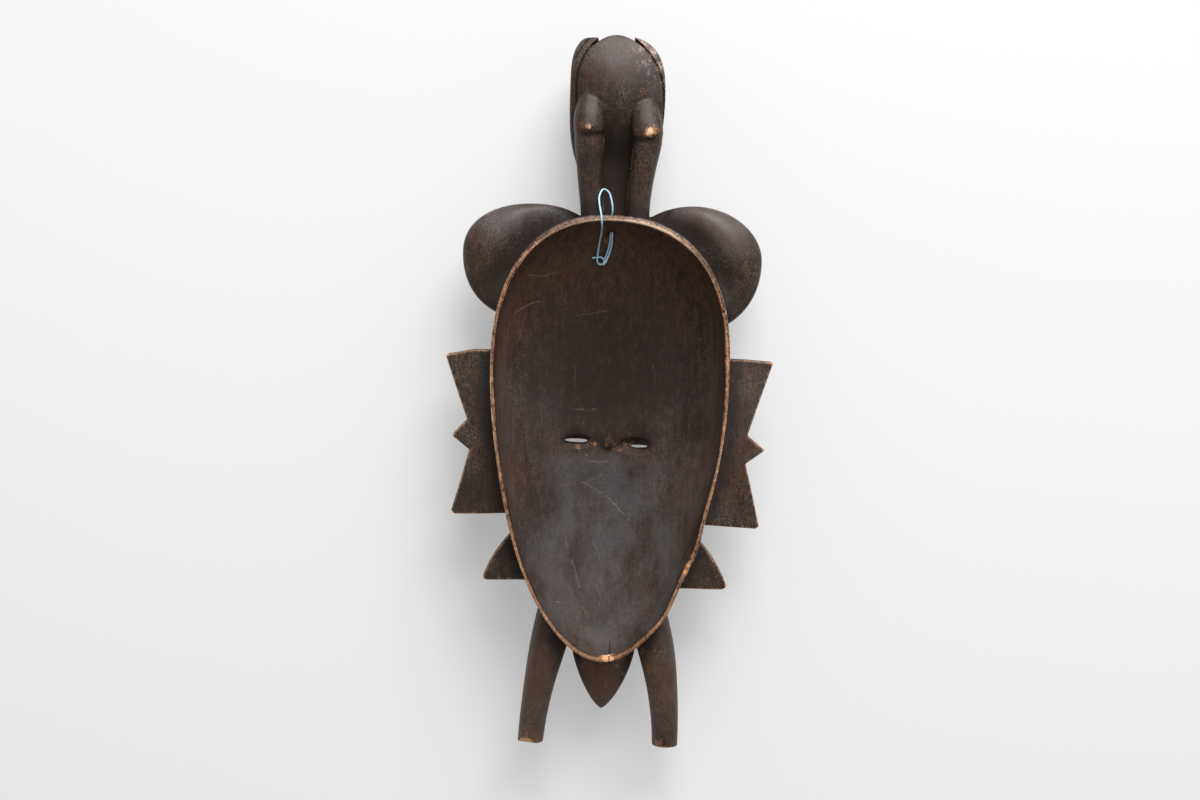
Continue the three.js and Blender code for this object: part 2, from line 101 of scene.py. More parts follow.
# Camera: looks down on the mask from the photograph's side, a little from the crest's end
viewpoint = {
    "eye": (-4.79, 64.67, 1063.92),
    "pitch": 4.0,  # degrees off straight down
    "roll": 1.8,
    "lens": 54.545,
    "sensor": 36.0,
    "nearest": 0.05,
}


def addCamera():
    pitch, roll = math.radians(viewpoint["pitch"]), math.radians(viewpoint["roll"])
    back = Vector((0, math.sin(pitch), math.cos(pitch)))
    level = Vector((0, math.cos(pitch), -math.sin(pitch)))
    across = Vector((1, 0, 0))
    right = math.cos(roll) * across + math.sin(roll) * level
    up = -math.sin(roll) * across + math.cos(roll) * level
    data = bpy.data.cameras.new("camera")
    data.lens = viewpoint["lens"]
    data.sensor_width = viewpoint["sensor"]
    data.clip_start = viewpoint["nearest"]
    camera = linked("camera", data)
    turn = Matrix((right, up, back)).transposed().to_4x4()
    camera.matrix_world = Matrix.Translation(placed(viewpoint["eye"])) @ turn
    bpy.context.scene.camera = camera


addCamera()
print("camera in place")


# Maths on a wrapped socket: an expression adds its nodes as it is worked out
class Value:
    def __init__(self, nodes, socket):
        self.nodes = nodes
        self.socket = socket

    def maths(self, operation, *others, clamp=False):
        settings = {"operation": operation, "use_clamp": clamp}
        return self.nodes.node("ShaderNodeMath", settings, dict(enumerate([self, *others])))

    def __add__(self, other):
        return self.maths("ADD", other)

    __radd__ = __add__

    def __mul__(self, other):
        return self.maths("MULTIPLY", other)

    __rmul__ = __mul__

    def __sub__(self, other):
        return self.maths("SUBTRACT", other)

    def __rsub__(self, other):
        return (self * -1) + other

    def clamped(self):
        return self.maths("ADD", 0.0, clamp=True)

    def largest(self, other):
        return self.maths("MAXIMUM", other)

    # 0 below the low value, 1 above the high one, with soft ends
    def between(self, low, high):
        settings = {"interpolation_type": "SMOOTHSTEP"}
        inputs = {"Value": self, "From Min": low, "From Max": high}
        return self.nodes.node("ShaderNodeMapRange", settings, inputs)


class Nodes:
    def __init__(self, tree):
        self.tree = tree

    # One node: its settings first, then the values or links of its sockets. Gives one of its outputs.
    def node(self, kind, settings, inputs, output=0):
        node = self.tree.nodes.new(kind)
        for name, value in settings.items():
            setattr(node, name, value)
        for name, value in inputs.items():
            if isinstance(value, Value):
                self.tree.links.new(value.socket, node.inputs[name])
            else:
                node.inputs[name].default_value = value
        return Value(self, node.outputs[output]) if node.outputs else None

    # Colours: sockets 6 and 7 of a Mix node are its two colours, and its third output is the result
    def mixed(self, factor, first, second):
        return self.node("ShaderNodeMix", {"data_type": "RGBA"}, {0: factor, 6: first, 7: second}, 2)


class Shader(Nodes):
    def __init__(self, name):
        self.material = bpy.data.materials.new(name)
        self.material.use_nodes = True
        super().__init__(self.material.node_tree)
        self.tree.nodes.clear()
        self.coordinates = self.node("ShaderNodeTexCoord", {}, {}, "Object")

    def attribute(self, name):
        return self.node("ShaderNodeAttribute", {"attribute_name": name}, {}, "Fac")

    # Noise on Object coordinates, with a cell of the given size in millimetres along each axis
    def noise(self, sizes, detail=3.0, roughness=0.55):
        scale = [1 / (size * mm) for size in sizes]
        place = self.node("ShaderNodeMapping", {}, {"Vector": self.coordinates, "Scale": scale})
        inputs = {"Vector": place, "Scale": 1.0, "Detail": detail, "Roughness": roughness}
        return self.node("ShaderNodeTexNoise", {}, inputs)

    def bump(self, height, distance):
        return self.node("ShaderNodeBump", {}, {"Height": height, "Distance": distance * mm, "Strength": 1.0})

    def surface(self, inputs):
        shade = self.node("ShaderNodeBsdfPrincipled", {}, inputs)
        self.node("ShaderNodeOutputMaterial", {}, {"Surface": shade})
        return self.material


def colour(red, green, blue):
    return (red, green, blue, 1.0)


# Wood: nearly black stain, rubbed grey-brown where it is handled and bare on its sharp edges, with painted
# shade in its recesses and painted light, shade and sheen laid on by place
woodLook = {
    # near-black stain, also used as painted shade in recesses and where the surface is painted darker
    "deepStainAndShade": colour(0.0135, 0.0078, 0.0052),
    # paler stain, also used as painted light where the surface is painted lit
    "stainAndPaintedLight": colour(0.068, 0.042, 0.0285),
    "redStain": colour(0.105, 0.045, 0.022),
    # grey of dust, also laid on as a painted sheen
    "dustAndSheen": colour(0.13, 0.117, 0.11),
    "rubbedWood": colour(0.22, 0.105, 0.050),
    "bareWood": colour(0.60, 0.39, 0.245),
    "paleWood": colour(0.52, 0.42, 0.32),
    "orangeWood": colour(0.58, 0.27, 0.09),
    "scratched": colour(0.20, 0.150, 0.125),
    # blue-grey painted sheen: a painted reflection on the panel below the eyes and on the lit tops
    "paintedCoolSheen": colour(0.060, 0.058, 0.064),
    "gloss": 0.27,
    "relief": 0.22,  # height of the grain, in millimetres
}


def woodMaterial():
    w = Shader("carved_wood")
    grain = w.noise((0.9, 7, 2), detail=3)
    fine = w.noise((0.8, 1.3, 0.9), detail=3, roughness=0.65)
    patches = w.noise((3, 5, 3), detail=5, roughness=0.7)
    blotches = w.noise((17, 26, 17), detail=4, roughness=0.6)
    red = w.noise((40, 30, 40), detail=3)
    streaks = w.noise((2.4, 30, 3), detail=3)
    names = ("edge", "rim", "rubbed", "shutInShade", "inside", "scratch", "toneAndPaintedLight", "paintedSheenAndRedness")
    edge, rim, rubbed, shutInShade, inside, scratch, toneAndPaintedLight, paintedSheenAndRedness = [w.attribute(name) for name in names]
    warm = red.between(0.42, 0.68) * (grain * 0.6 + fine * 0.4).between(0.44, 0.62)
    warm = warm * 0.75 * (1 - paintedSheenAndRedness.clamped() * 0.8) + (paintedSheenAndRedness * -0.7).clamped()
    # a grey film of dust and painted sheen: stronger where the surface is painted lit, weaker where it is
    # shut in, and greyer on the painted sheen
    dustAndSheenShare = blotches.between(0.46, 0.7) * fine.between(0.42, 0.66) * (1 - inside * 0.7)
    dustAndSheenShare = dustAndSheenShare * (toneAndPaintedLight + 1 - shutInShade).clamped()
    layers = [
        (patches.between(0.28, 0.70), "stainAndPaintedLight"),
        (fine.between(0.60, 0.38) * 0.8, "deepStainAndShade"),
        # painted light: paler where the surface is painted lit
        (toneAndPaintedLight.clamped(), "stainAndPaintedLight"),
        (warm.clamped(), "redStain"),
        (blotches.between(0.5, 0.3) * 0.3, "deepStainAndShade"),
        (streaks.between(0.56, 0.38) * 0.45 * inside, "deepStainAndShade"),
        # painted sheen where the wood is painted greyer
        (paintedSheenAndRedness.clamped() * blotches.between(0.3, 0.6) * 0.5, "paintedCoolSheen"),
        # painted shade: darker where the surface is painted shaded
        ((toneAndPaintedLight * -1).clamped() * (patches.between(0.70, 0.35) * 0.4 + 0.6), "deepStainAndShade"),
        # painted shade: darker where the surface is shut in or in a groove
        (shutInShade.between(0.05, 0.5) * 0.8, "deepStainAndShade"),
        (dustAndSheenShare * (paintedSheenAndRedness.clamped() * 0.3 + 0.4), "dustAndSheen"),
        (scratch * fine.between(0.25, 0.6) * 0.7, "scratched"),
    ]
    stainAndPaintedLight = woodLook["deepStainAndShade"]
    for share, name in layers:
        stainAndPaintedLight = w.mixed(share, stainAndPaintedLight, woodLook[name])
    ragged = ((fine - 0.5) * 1.1 + (patches - 0.5) * 0.9) * (1 - rim * 0.45)
    wear = edge.largest(rim).largest(rubbed) + ragged
    rubbedBrown = w.mixed(paintedSheenAndRedness.clamped() * 0.8, woodLook["rubbedWood"], woodLook["scratched"])
    brown = w.mixed(wear.between(0.30, 0.52), stainAndPaintedLight, rubbedBrown)
    bare = w.mixed(paintedSheenAndRedness.clamped() * 0.7, woodLook["bareWood"], woodLook["paleWood"])
    bare = w.mixed((paintedSheenAndRedness * -1).clamped(), bare, woodLook["orangeWood"])
    base = w.mixed(wear.between(0.56, 0.86), brown, bare)
    roughness = patches * 0.2 + fine * 0.1 + wear.clamped() * 0.12 + shutInShade * 0.3 + inside * 0.16 + 0.29
    roughness = roughness + (toneAndPaintedLight * -0.25).clamped()
    height = grain * 0.35 + fine * 0.3 + patches * 0.9
    return w.surface({
        "Base Color": base, "Roughness": roughness, "Normal": w.bump(height, woodLook["relief"]),
        "Specular IOR Level": woodLook["gloss"],
    })


# Hanging wire: a thin coated wire, twisted into an eye inside the hollow and looped over the rim
wire = {
    "diameter": 1.0,
    "sides": 12,
    "dents": 0.06,  # how uneven its coating is, as a share of its radius
    "dentScale": 400.0,
    "seed": 3.0,
    "steps": 8,  # stretches of the path between two points of the route
    # x, y and depth: from the short tail round the eye, over the rim, round the loop and back in by the hole
    "route": [
        (-11.6, 72.9, 27.4), (-9.1, 73.3, 27.5), (-6.7, 73.4, 27.6), (-4.9, 71.8, 28.5), (-5.4, 69.9, 29.4),
        (-7.5, 69.5, 29.3), (-8.9, 71.3, 27.6), (-8.7, 74.4, 25.6), (-8, 80.5, 21.4), (-7, 86.2, 14),
        (-6.6, 90, 4.2), (-6.8, 92.2, -0.3), (-7.1, 95, -0.9), (-7.6, 98.2, 1.6), (-8.5, 102.6, 7.6),
        (-8.6, 107.2, 11.2), (-6.6, 110.8, 13.3), (-3.8, 109.6, 13.8), (-2, 105.4, 13.6), (-1.2, 100.6, 13.4),
        (-1.4, 94, 16.8), (-1.6, 88.4, 19.2), (-1.9, 84.4, 21.1), (-2.2, 81, 22.9), (-3, 77.4, 25.1),
        (-4, 73.8, 27), (-5.1, 70.7, 27.9), (-5.3, 69.3, 27), (-4.4, 70.2, 26.1), (-2.9, 73.4, 25.6),
        (-1.7, 77.2, 24.2), (-1, 80.8, 22.2), (-0.8, 84.2, 20), (-0.7, 87.4, 18.6),
    ],
    "hole": (-1.8, 85.4, 20.6),  # where it comes out of the hole, inside the hollow
    "colour": colour(0.37, 0.61, 0.74),
    "dirt": colour(0.20, 0.26, 0.28),
}


# Points on one smooth curve through a row of points, whose knots are spaced by the root of their distance
def smoothPath(points, steps):
    points = [Vector(p) for p in points]
    points = [2 * points[0] - points[1], *points, 2 * points[-1] - points[-2]]
    path = []
    for i in range(1, len(points) - 2):
        p = points[i - 1:i + 3]
        t = [0.0]
        for a, b in zip(p, p[1:]):
            t.append(t[-1] + max(1e-4, (b - a).length ** 0.5))
        for step in range(steps):
            at = t[1] + (t[2] - t[1]) * step / steps
            rows = p
            for spans in (((0, 1), (1, 2), (2, 3)), ((0, 2), (1, 3)), ((1, 2),)):
                rows = [
                    rows[k].lerp(rows[k + 1], (at - t[start]) / (t[end] - t[start]))
                    for k, (start, end) in enumerate(spans)
                ]
            path.append(rows[0])
    path.append(points[-2])
    return path


def wireMaterial():
    w = Shader("coated_wire")
    dirt = w.noise((3, 3, 3), detail=3)
    base = w.mixed(dirt.between(0.5, 0.75) * 0.6, wire["colour"], wire["dirt"])
    return w.surface({
        "Base Color": base, "Roughness": dirt * 0.2 + 0.28,
        "Normal": w.bump(w.noise((0.8, 0.8, 0.8)), 0.03),
    })


# A Geometry Nodes tree with named inputs
class Tree(Nodes):
    def __init__(self, name, inputs):
        super().__init__(bpy.data.node_groups.new(name, "GeometryNodeTree"))
        self.tree.is_modifier = True
        face = self.tree.interface
        face.new_socket("Geometry", in_out="INPUT", socket_type="NodeSocketGeometry")
        self.ids = {}
        for label, kind in inputs.items():
            socket = face.new_socket(label, in_out="INPUT", socket_type="NodeSocket" + kind)
            self.ids[label] = socket.identifier
        face.new_socket("Geometry", in_out="OUTPUT", socket_type="NodeSocketGeometry")
        self.start = self.tree.nodes.new("NodeGroupInput")

    def given(self, label):
        return Value(self, self.start.outputs[label])

    # Every tree ends in Realize Instances and Set Material
    def finish(self, geometry):
        real = self.node("GeometryNodeRealizeInstances", {}, {"Geometry": geometry})
        coat = {"Geometry": real, "Material": self.given("Material")}
        self.node("NodeGroupOutput", {}, {"Geometry": self.node("GeometryNodeSetMaterial", {}, coat)})

    # The tree's result on an object as a plain mesh, in a new object
    def applied(self, source, name, values):
        modifier = source.modifiers.new(name, "NODES")
        modifier.node_group = self.tree
        for label, value in values.items():
            modifier[self.ids[label]] = value
        bpy.context.view_layer.update()
        evaluated = source.evaluated_get(bpy.context.evaluated_depsgraph_get())
        mesh = bpy.data.meshes.new_from_object(evaluated)
        source.modifiers.clear()
        bpy.data.objects.remove(source)
        return linked(name, mesh)


def wireTree():
    inputs = {"Diameter": "Float", "Sides": "Int", "Dents": "Float", "Seed": "Float", "Material": "Material"}
    tree = Tree("coatedWire", inputs)
    position = tree.node("GeometryNodeInputPosition", {}, {})
    noise = tree.node("ShaderNodeTexNoise", {"noise_dimensions": "4D"}, {
        "Vector": position, "W": tree.given("Seed"), "Scale": wire["dentScale"], "Detail": 1.0,
    })
    size = tree.given("Diameter") * 0.5 * ((noise - 0.5) * tree.given("Dents") + 1.0)
    sized = tree.node("GeometryNodeSetCurveRadius", {}, {"Curve": tree.given("Geometry"), "Radius": size})
    circle = {"Resolution": tree.given("Sides"), "Radius": 1.0}
    tube = tree.node("GeometryNodeCurveToMesh", {}, {
        "Curve": sized, "Profile Curve": tree.node("GeometryNodeCurvePrimitiveCircle", {}, circle),
        "Fill Caps": True, "Scale": tree.node("GeometryNodeInputRadius", {}, {}),
    })
    tree.finish(tree.node("GeometryNodeSetShadeSmooth", {}, {"Geometry": tube}))
    return tree


def addWire():
    route = [placed((x, y, above(depth))) for x, y, depth in wire["route"]]
    path = smoothPath(route, wire["steps"])
    curve = bpy.data.curves.new("wireLine", "CURVE")
    curve.dimensions = "3D"
    line = curve.splines.new("POLY")
    line.points.add(len(path) - 1)
    for point, place in zip(line.points, path):
        point.co = (*place, 1.0)
    piece = wireTree().applied(linked("wireLine", curve), "hanging_wire_loop", {
        "Diameter": wire["diameter"] * mm, "Sides": wire["sides"], "Dents": wire["dents"],
        "Seed": wire["seed"], "Material": wireMaterial(),
    })
    length = sum((b - a).length for a, b in zip(path, path[1:]))
    x, y, depth = wire["hole"]
    placed((x, y, above(depth)))
    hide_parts("hanging_wire")
    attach(piece, "root")
    print(f"wire: {length / mm:.0f} mm long")


addWire()


# Clay: the mask is sculpted as distances to its surface, in millimetres, less than 0 inside the wood.
# Each form knows its own box, so that it is worked out only near itself.
reachAround = 6.5
clayMoves = []


# Soft is how far the new form blends into what is there
def add(form, soft):
    clayMoves.append((form, 1, soft))


def cut(form, soft):
    clayMoves.append((form, -1, soft))


def softLeast(a, b, soft):
    near = np.clip(soft - np.abs(a - b), 0, None) / soft
    return np.minimum(a, b) - near * near * (soft / 4)


def softMost(a, b, soft):
    return -softLeast(-a, -b, soft)


def ease(value, low, high):
    t = np.clip((value - low) / (high - low), 0, 1)
    return t * t * (3 - 2 * t)


def rowsNear(points, low, high):
    keep = np.ones(len(points), bool)
    for axis in range(3):
        line = points[:, axis]
        keep &= (line > low[axis] - reachAround) & (line < high[axis] + reachAround)
    return np.flatnonzero(keep)


# The hand's unevenness: no line or face of the carving is quite straight
def uneven(points):
    x, y, z = points.T
    moved = points.copy()
    moved[:, 0] += 0.26 * np.sin(y / 17 + 1.3) + 0.16 * np.sin(z / 9 + y / 31 + 0.4)
    moved[:, 1] += 0.24 * np.sin(x / 14 + 0.7) + 0.14 * np.sin(z / 11 + x / 23)
    moved[:, 2] += 0.16 * np.sin(x / 12 + y / 15) + 0.14 * np.sin(y / 8.5 - x / 19 + 2.0)
    return moved


def clayAt(points):
    moved = uneven(points)
    field = np.full(len(points), 50, np.float32)
    for form, sign, soft in clayMoves:
        where = points if form.get("straight") else moved
        rows = rowsNear(where, form["low"], form["high"])
        if len(rows) == 0:
            continue
        distance = form["distance"](where[rows]).astype(np.float32)
        if sign > 0:
            field[rows] = softLeast(field[rows], distance, soft)
        else:
            field[rows] = softMost(field[rows], -distance, soft)
    return field


# Egg forms: one half-width and two heights, each end with its own roundness
def egg(x, y, halfWidth, above, below, roundAbove=2.0, roundBelow=2.0):
    return {
        "x": x, "y": y, "halfWidth": halfWidth, "above": above, "below": below,
        "roundAbove": roundAbove, "roundBelow": roundBelow,
    }


def grown(e, by):
    return {**e, "halfWidth": e["halfWidth"] + by, "above": e["above"] + by, "below": e["below"] + by}


# How far points are from the middle of an egg as a share of the way to its edge, and the slope of that
def eggShare(e, x, y):
    dx, dy = x - e["x"], y - e["y"]
    up = dy > 0
    height = np.where(up, e["above"], e["below"])
    power = np.where(up, e["roundAbove"], e["roundBelow"])
    across = np.abs(dx) / e["halfWidth"] + 1e-5
    along = np.abs(dy) / height + 1e-5
    a, b = across ** power, along ** power
    share = (a + b) ** (1 / power)
    whole = share / (a + b)
    slope = whole * np.hypot(a / across / e["halfWidth"], b / along / height)
    return share, slope


def fromEgg(e, points):
    share, slope = eggShare(e, points[:, 0], points[:, 1])
    return (share - 1) / slope


# A form in the box of an egg, between two heights
def eggForm(e, low, high, distance, room=0):
    return {
        "low": (e["x"] - e["halfWidth"] - room, e["y"] - e["below"] - room, low),
        "high": (e["x"] + e["halfWidth"] + room, e["y"] + e["above"] + room, high),
        "distance": distance,
    }


def eggDistance(points, e, middle, halfThickness, curve, openTop=False):
    share, shareSlope = eggShare(e, points[:, 0], points[:, 1])
    rise = points[:, 2] - middle
    rise = (np.clip(-rise, 0, None) if openTop else np.abs(rise)) / halfThickness + 1e-5
    a, b = share ** curve, rise ** curve
    whole = (a + b) ** (1 / curve)
    part = whole / (a + b)
    slope = part * np.hypot(a / share * shareSlope, b / rise / halfThickness)
    return (whole - 1) / slope


def pillow(e, depth, halfThickness, curve=2.2):
    middle = above(depth)

    def distance(points):
        return eggDistance(points, e, middle, halfThickness, curve)

    return eggForm(e, middle - halfThickness, middle + halfThickness, distance)


# Limbs: stations of (x, y, depth, wide, deep), smoothed to short stretches with oval sections
def limb(stations, steps=4, square=2.0, cap=1.0):
    rows = [[*station[:2], above(station[2]), *station[3:]] for station in stations]
    line = catmullRows(np.array(rows, float), steps)
    most = line[:, 3:].max()
    places = line[:, :3]

    def distance(points):
        best = np.full(len(points), 60.0, np.float32)
        for a, b in zip(line, line[1:]):
            along = b[:3] - a[:3]
            length = np.linalg.norm(along)
            forward = along / length
            across = np.array([forward[1], -forward[0], 0])
            across /= np.linalg.norm(across) + 1e-9
            upward = np.cross(across, forward)
            off = points - a[:3]
            t = np.clip(off @ forward / length, 0, 1)
            off = off - t[:, None] * along
            wide = a[3] + (b[3] - a[3]) * t
            deep = a[4] + (b[4] - a[4]) * t
            end = np.minimum(wide, deep) * cap
            sizes = np.stack([wide, deep, end])
            parts = np.abs(np.stack([off @ across, off @ upward, off @ forward])) / sizes + 1e-5
            q = (parts ** square).sum(0) ** (1 / square)
            slope = np.linalg.norm(parts ** (square - 1) / sizes, axis=0) * q ** (1 - square)
            best = np.minimum(best, (q - 1) / slope)
        return best

    return {"low": places.min(0) - most, "high": places.max(0) + most, "distance": distance}


def catmullRows(rows, steps):
    padded = np.vstack([2 * rows[0] - rows[1], rows, 2 * rows[-1] - rows[-2]])
    line = []
    for i in range(1, len(padded) - 2):
        p0, p1, p2, p3 = padded[i - 1:i + 3]
        for step in range(steps):
            t = step / steps
            line.append(0.5 * (
                2 * p1 + (p2 - p0) * t + (2 * p0 - 5 * p1 + 4 * p2 - p3) * t ** 2
                + (3 * p1 - p0 - 3 * p2 + p3) * t ** 3
            ))
    line.append(rows[-1])
    return np.array(line)


# Boards: an outline with straight or curved sides, between two depths, with rounded edges
def board(outline, depth, thickness, edge, dish=0.0):
    corners = np.array(outline, float)
    middle, half = above(depth + thickness / 2), thickness / 2

    def distance(points):
        flat = polygonDistance(points[:, :2], corners)
        dip = dish * ease(-flat, 0, 12)
        rise = np.abs(points[:, 2] - middle) - half + dip
        a, b = flat + edge, rise + edge
        return np.hypot(np.clip(a, 0, None), np.clip(b, 0, None)) + np.minimum(np.maximum(a, b), 0) - edge

    low, high = corners.min(0), corners.max(0)
    return {"low": (*low, middle - half), "high": (*high, middle + half), "distance": distance}


def polygonDistance(points, corners):
    best = np.full(len(points), 1e9)
    inside = np.zeros(len(points), bool)
    for a, b in zip(corners, np.roll(corners, -1, axis=0)):
        along = b - a
        off = points - a
        t = np.clip(off @ along / (along @ along), 0, 1)
        best = np.minimum(best, ((off - t[:, None] * along) ** 2).sum(1))
        crosses = (a[1] > points[:, 1]) != (b[1] > points[:, 1])
        rise = along[1] if abs(along[1]) > 1e-9 else 1e-9
        inside ^= crosses & (points[:, 0] < a[0] + (points[:, 1] - a[1]) * along[0] / rise)
    return np.where(inside, -1, 1) * np.sqrt(best)


# An upright prism on an egg outline
def eggPrism(e, low, high):
    def distance(points):
        return np.maximum(fromEgg(e, points), np.abs(points[:, 2] - (low + high) / 2) - (high - low) / 2)

    return eggForm(e, low, high, distance)


def block(low, high):
    low, high = np.array(low, float), np.array(high, float)
    middle, half = (low + high) / 2, (high - low) / 2

    def distance(points):
        off = np.abs(points - middle) - half
        return np.linalg.norm(np.clip(off, 0, None), axis=1) + np.minimum(off.max(1), 0)

    return {"low": low, "high": high, "distance": distance}


def bump(x, y, atX, atY, spreadX, spreadY):
    return np.exp(-((x - atX) / spreadX) ** 2 - ((y - atY) / spreadY) ** 2)


# Shell of the mask and its hollow
shell = {
    "face": egg(0, 16.5, 65.5, 80, 167.6, 2.32, 1.93),
    "depth": 51.0,  # rim to the outside of the cheeks
    "curve": 2.4,
    "hollowDepth": 41.0,
    "hollowCurve": 2.2,
    "lip": (2.5, 3.9),  # width of the rim at the left and the lower end, and at the top
    "bevel": (0.6, 2.5),  # how far the rim is rounded off on its outside, at the same places
    "lipRound": 0.7,  # and on its inside
    "flare": (0.7, 1.6),  # how far the hollow opens out at the very rim, and how deep that goes
    "forehead": (egg(0, 36, 47, 42, 43, 2.2, 2.2), 20.0),
    "muzzle": (egg(0, -88, 31, 40, 44), 17.0),
    "swellDepth": 36.0,
}

# What is left standing or cut deeper on the floor of the hollow
floorRelief = {
    "panelTop": -37.0,  # the smooth panel below the eyes begins here
    "panelRise": 0.9,
    "panelHalfWidth": 29.0,
    "bridge": (-33.0, 1.0),  # y and depth of the groove between the eyes
    "knob": (0.3, -32.9, 3.2),  # x, y and size of the stub left in it
    "knobRise": 2.5,
    "gougeDepth": 0.04,
}
# Scoops cut down to the eye slits: x, y of the slit, half-width, reach above it and depth
scoops = [(-17.2, -31.8, 9.6, 4.2, 2.4), (16.2, -33.6, 10.4, 5.6, 3.6)]


def lipWander(x, y):
    turn = np.arctan2(y - shell["face"]["y"], x)
    return 0.22 * np.sin(3 * turn + 0.4) + 0.16 * np.sin(5 * turn + 1.9) + 0.13 * np.sin(11 * turn)


# 1 where the rim is broad, at the top, and 0 where it is a thin edge
def lipShare(x, y):
    right = 0.3 * ease(x, 15, 50) * (1 - ease(-y, -20, 20))
    lowRight = 0.5 * bump(x, y, 47, -96, 12, 22)
    return np.clip(ease(y, 58, 92) + right + lowRight, 0, 1)


def byBreadth(name, x, y):
    narrow, broad = shell[name]
    return narrow + (broad - narrow) * lipShare(x, y)


def lipWidth(x, y):
    return byBreadth("lip", x, y) + lipWander(x, y)


# The real outline is a little outside the even egg on the right and below
def sideWander(x, y):
    right = 1.3 * bump(x, y, 66, -8, 16, 42) + 1.5 * bump(x, y, 50, -89, 14, 14)
    return 0.3 * bump(x, y, 60, 58, 14, 16) - right - 1.5 * bump(x, y, 33, -123, 13, 12)


def shellDistance(points):
    x, y, z = points.T
    distance = eggDistance(points, shell["face"], carving["rimHeight"], shell["depth"], shell["curve"])
    return softMost(distance + sideWander(x, y), z - carving["rimHeight"], byBreadth("bevel", x, y))


def hollowDistance(points):
    x, y, z = points.T
    narrow, rim = shell["lip"][0], carving["rimHeight"]
    e = grown(shell["face"], -narrow)
    distance = eggDistance(points, e, rim, shell["hollowDepth"], shell["hollowCurve"], openTop=True)
    share = eggShare(shell["face"], x, y)[0]
    lip = (lipWidth(x, y) - narrow) * ease(share, 0.6, 0.85)
    flare, flareDepth = shell["flare"]
    lipFlare = flare * np.exp(-np.clip(rim - z, 0, None) / flareDepth)
    return distance + sideWander(x, y) + lip + hollowRelief(x, y) - lipFlare


def hollowRelief(x, y):
    r = floorRelief
    side = ease(r["panelHalfWidth"] + 8 - np.abs(x - 1), 0, 14)
    panel = r["panelRise"] * side * ease(-y, -r["panelTop"], 9 - r["panelTop"]) * ease(y, -150, -80)
    bridgeY, bridgeDepth = r["bridge"]
    groove = bridgeDepth * np.exp(-((y - bridgeY) / 3.6) ** 2) * ease(15 - np.abs(x), 0, 9)
    knobX, knobY, size = r["knob"]
    knob = r["knobRise"] * np.exp(-(((x - knobX) / size) ** 2 + ((y - knobY) / (size * 0.9)) ** 2) ** 1.4)
    relief = panel - groove + knob
    for middle, slitY, halfWidth, reach, depth in scoops:
        up = np.clip(y - slitY, 0, None) / reach
        down = np.clip(slitY - y, 0, None) / 4.5
        room = np.clip(1 - ((x - middle) / halfWidth) ** 2 - up ** 2 - down ** 2, 0, 1)
        relief = relief - depth * room ** 1.15
    gouges = np.sin(x / 1.7 + 0.8 * np.sin(y / 13) + 0.9 * np.sin(y / 5 + x / 4))
    return relief + r["gougeDepth"] * gouges


# Horns beside the forehead, with curved grooves on their fronts
horns = {
    "eggs": [egg(-45, 74, 39.4, 28.3, 37, 2.2, 2.2), egg(45, 74, 38.6, 29.2, 42, 2.0, 2.1)],
    "depth": 27.0,
    "halfThickness": 11.5,
    "curve": 2.2,
    "grooves": 3,
    "grooveRadius": 1.3,
    "grooveSpan": (-0.36, 1.46),  # start and length, in quarter turns from the outer side to the top
    "valleyWide": 21.0,  # this near the shell, the back of each horn drops
    "valleyDrop": 8.5,
    "valleyEnd": (38, 68),  # the valley runs out between these, towards the lower tip
}


def horn(e):
    form = pillow(e, horns["depth"], horns["halfThickness"], horns["curve"])
    whole = form["distance"]

    def distance(points):
        moved = points.copy()
        near = 1 - ease(fromEgg(shell["face"], points), -4, horns["valleyWide"])
        moved[:, 2] += horns["valleyDrop"] * near * ease(points[:, 1], *horns["valleyEnd"])
        return whole(moved)

    return {**form, "distance": distance}


def eggReach(e, angle):
    x, y = math.cos(angle), math.sin(angle)
    height, power = (e["above"], e["roundAbove"]) if y > 0 else (e["below"], e["roundBelow"])
    return ((abs(x) / e["halfWidth"]) ** power + (abs(y) / height) ** power) ** (-1 / power)


def hornGroove(e, number):
    share = 0.40 + 0.15 * number
    side = -1 if e["x"] < 0 else 1
    curve = horns["curve"]
    start, length = horns["grooveSpan"]
    stations = []
    for step in range(11):
        turn = (start + length * step / 10) * math.pi / 2
        angle = math.pi - turn if side < 0 else turn
        reach = share * eggReach(e, angle)
        front = horns["depth"] + horns["halfThickness"] * (1 - share ** curve) ** (1 / curve)
        x, y = e["x"] + reach * math.cos(angle), e["y"] + reach * math.sin(angle)
        stations.append((x, y, front, horns["grooveRadius"], horns["grooveRadius"]))
    return limb(stations, steps=2)


# Flat boards beside the cheeks: corners, notches and a tooth, from the top round to the root
boards = {
    "depth": 15.0,
    "thickness": 10.0,
    "inside": 52.0,
    "left": [
        (76, 20.2), (91.5, 16.9), (78.9, -18.8), (87.5, -28.2),
        (77.5, -35.9), (86.6, -70.5), (84.6, -72.4), (57.5, -71.4),
    ],
    "right": [
        (76, 18.8), (91.6, 18.2), (78.2, -23.5), (88, -31.4),
        (77.4, -39.4), (86.5, -74.3), (84.8, -75.8), (56.6, -75),
    ],
}

# Small fins below them: start, middle, tip, underside and inner end
fins = {
    "depth": 17.0,
    "thickness": 9.0,
    "left": [(46, -76), (62.6, -92), (67.6, -108.2), (65.4, -109.6), (33, -109.2)],
    "right": [(46, -77), (63.6, -92), (70.4, -109.6), (67.6, -111.4), (33, -111.8)],
}


def sideBoard(side, points):
    inside = boards["inside"]
    outline = [(inside, points[0][1]), *points, (inside, points[-1][1])]
    return board([(side * x, y) for x, y in outline], boards["depth"], boards["thickness"], 1.1, 0.5)


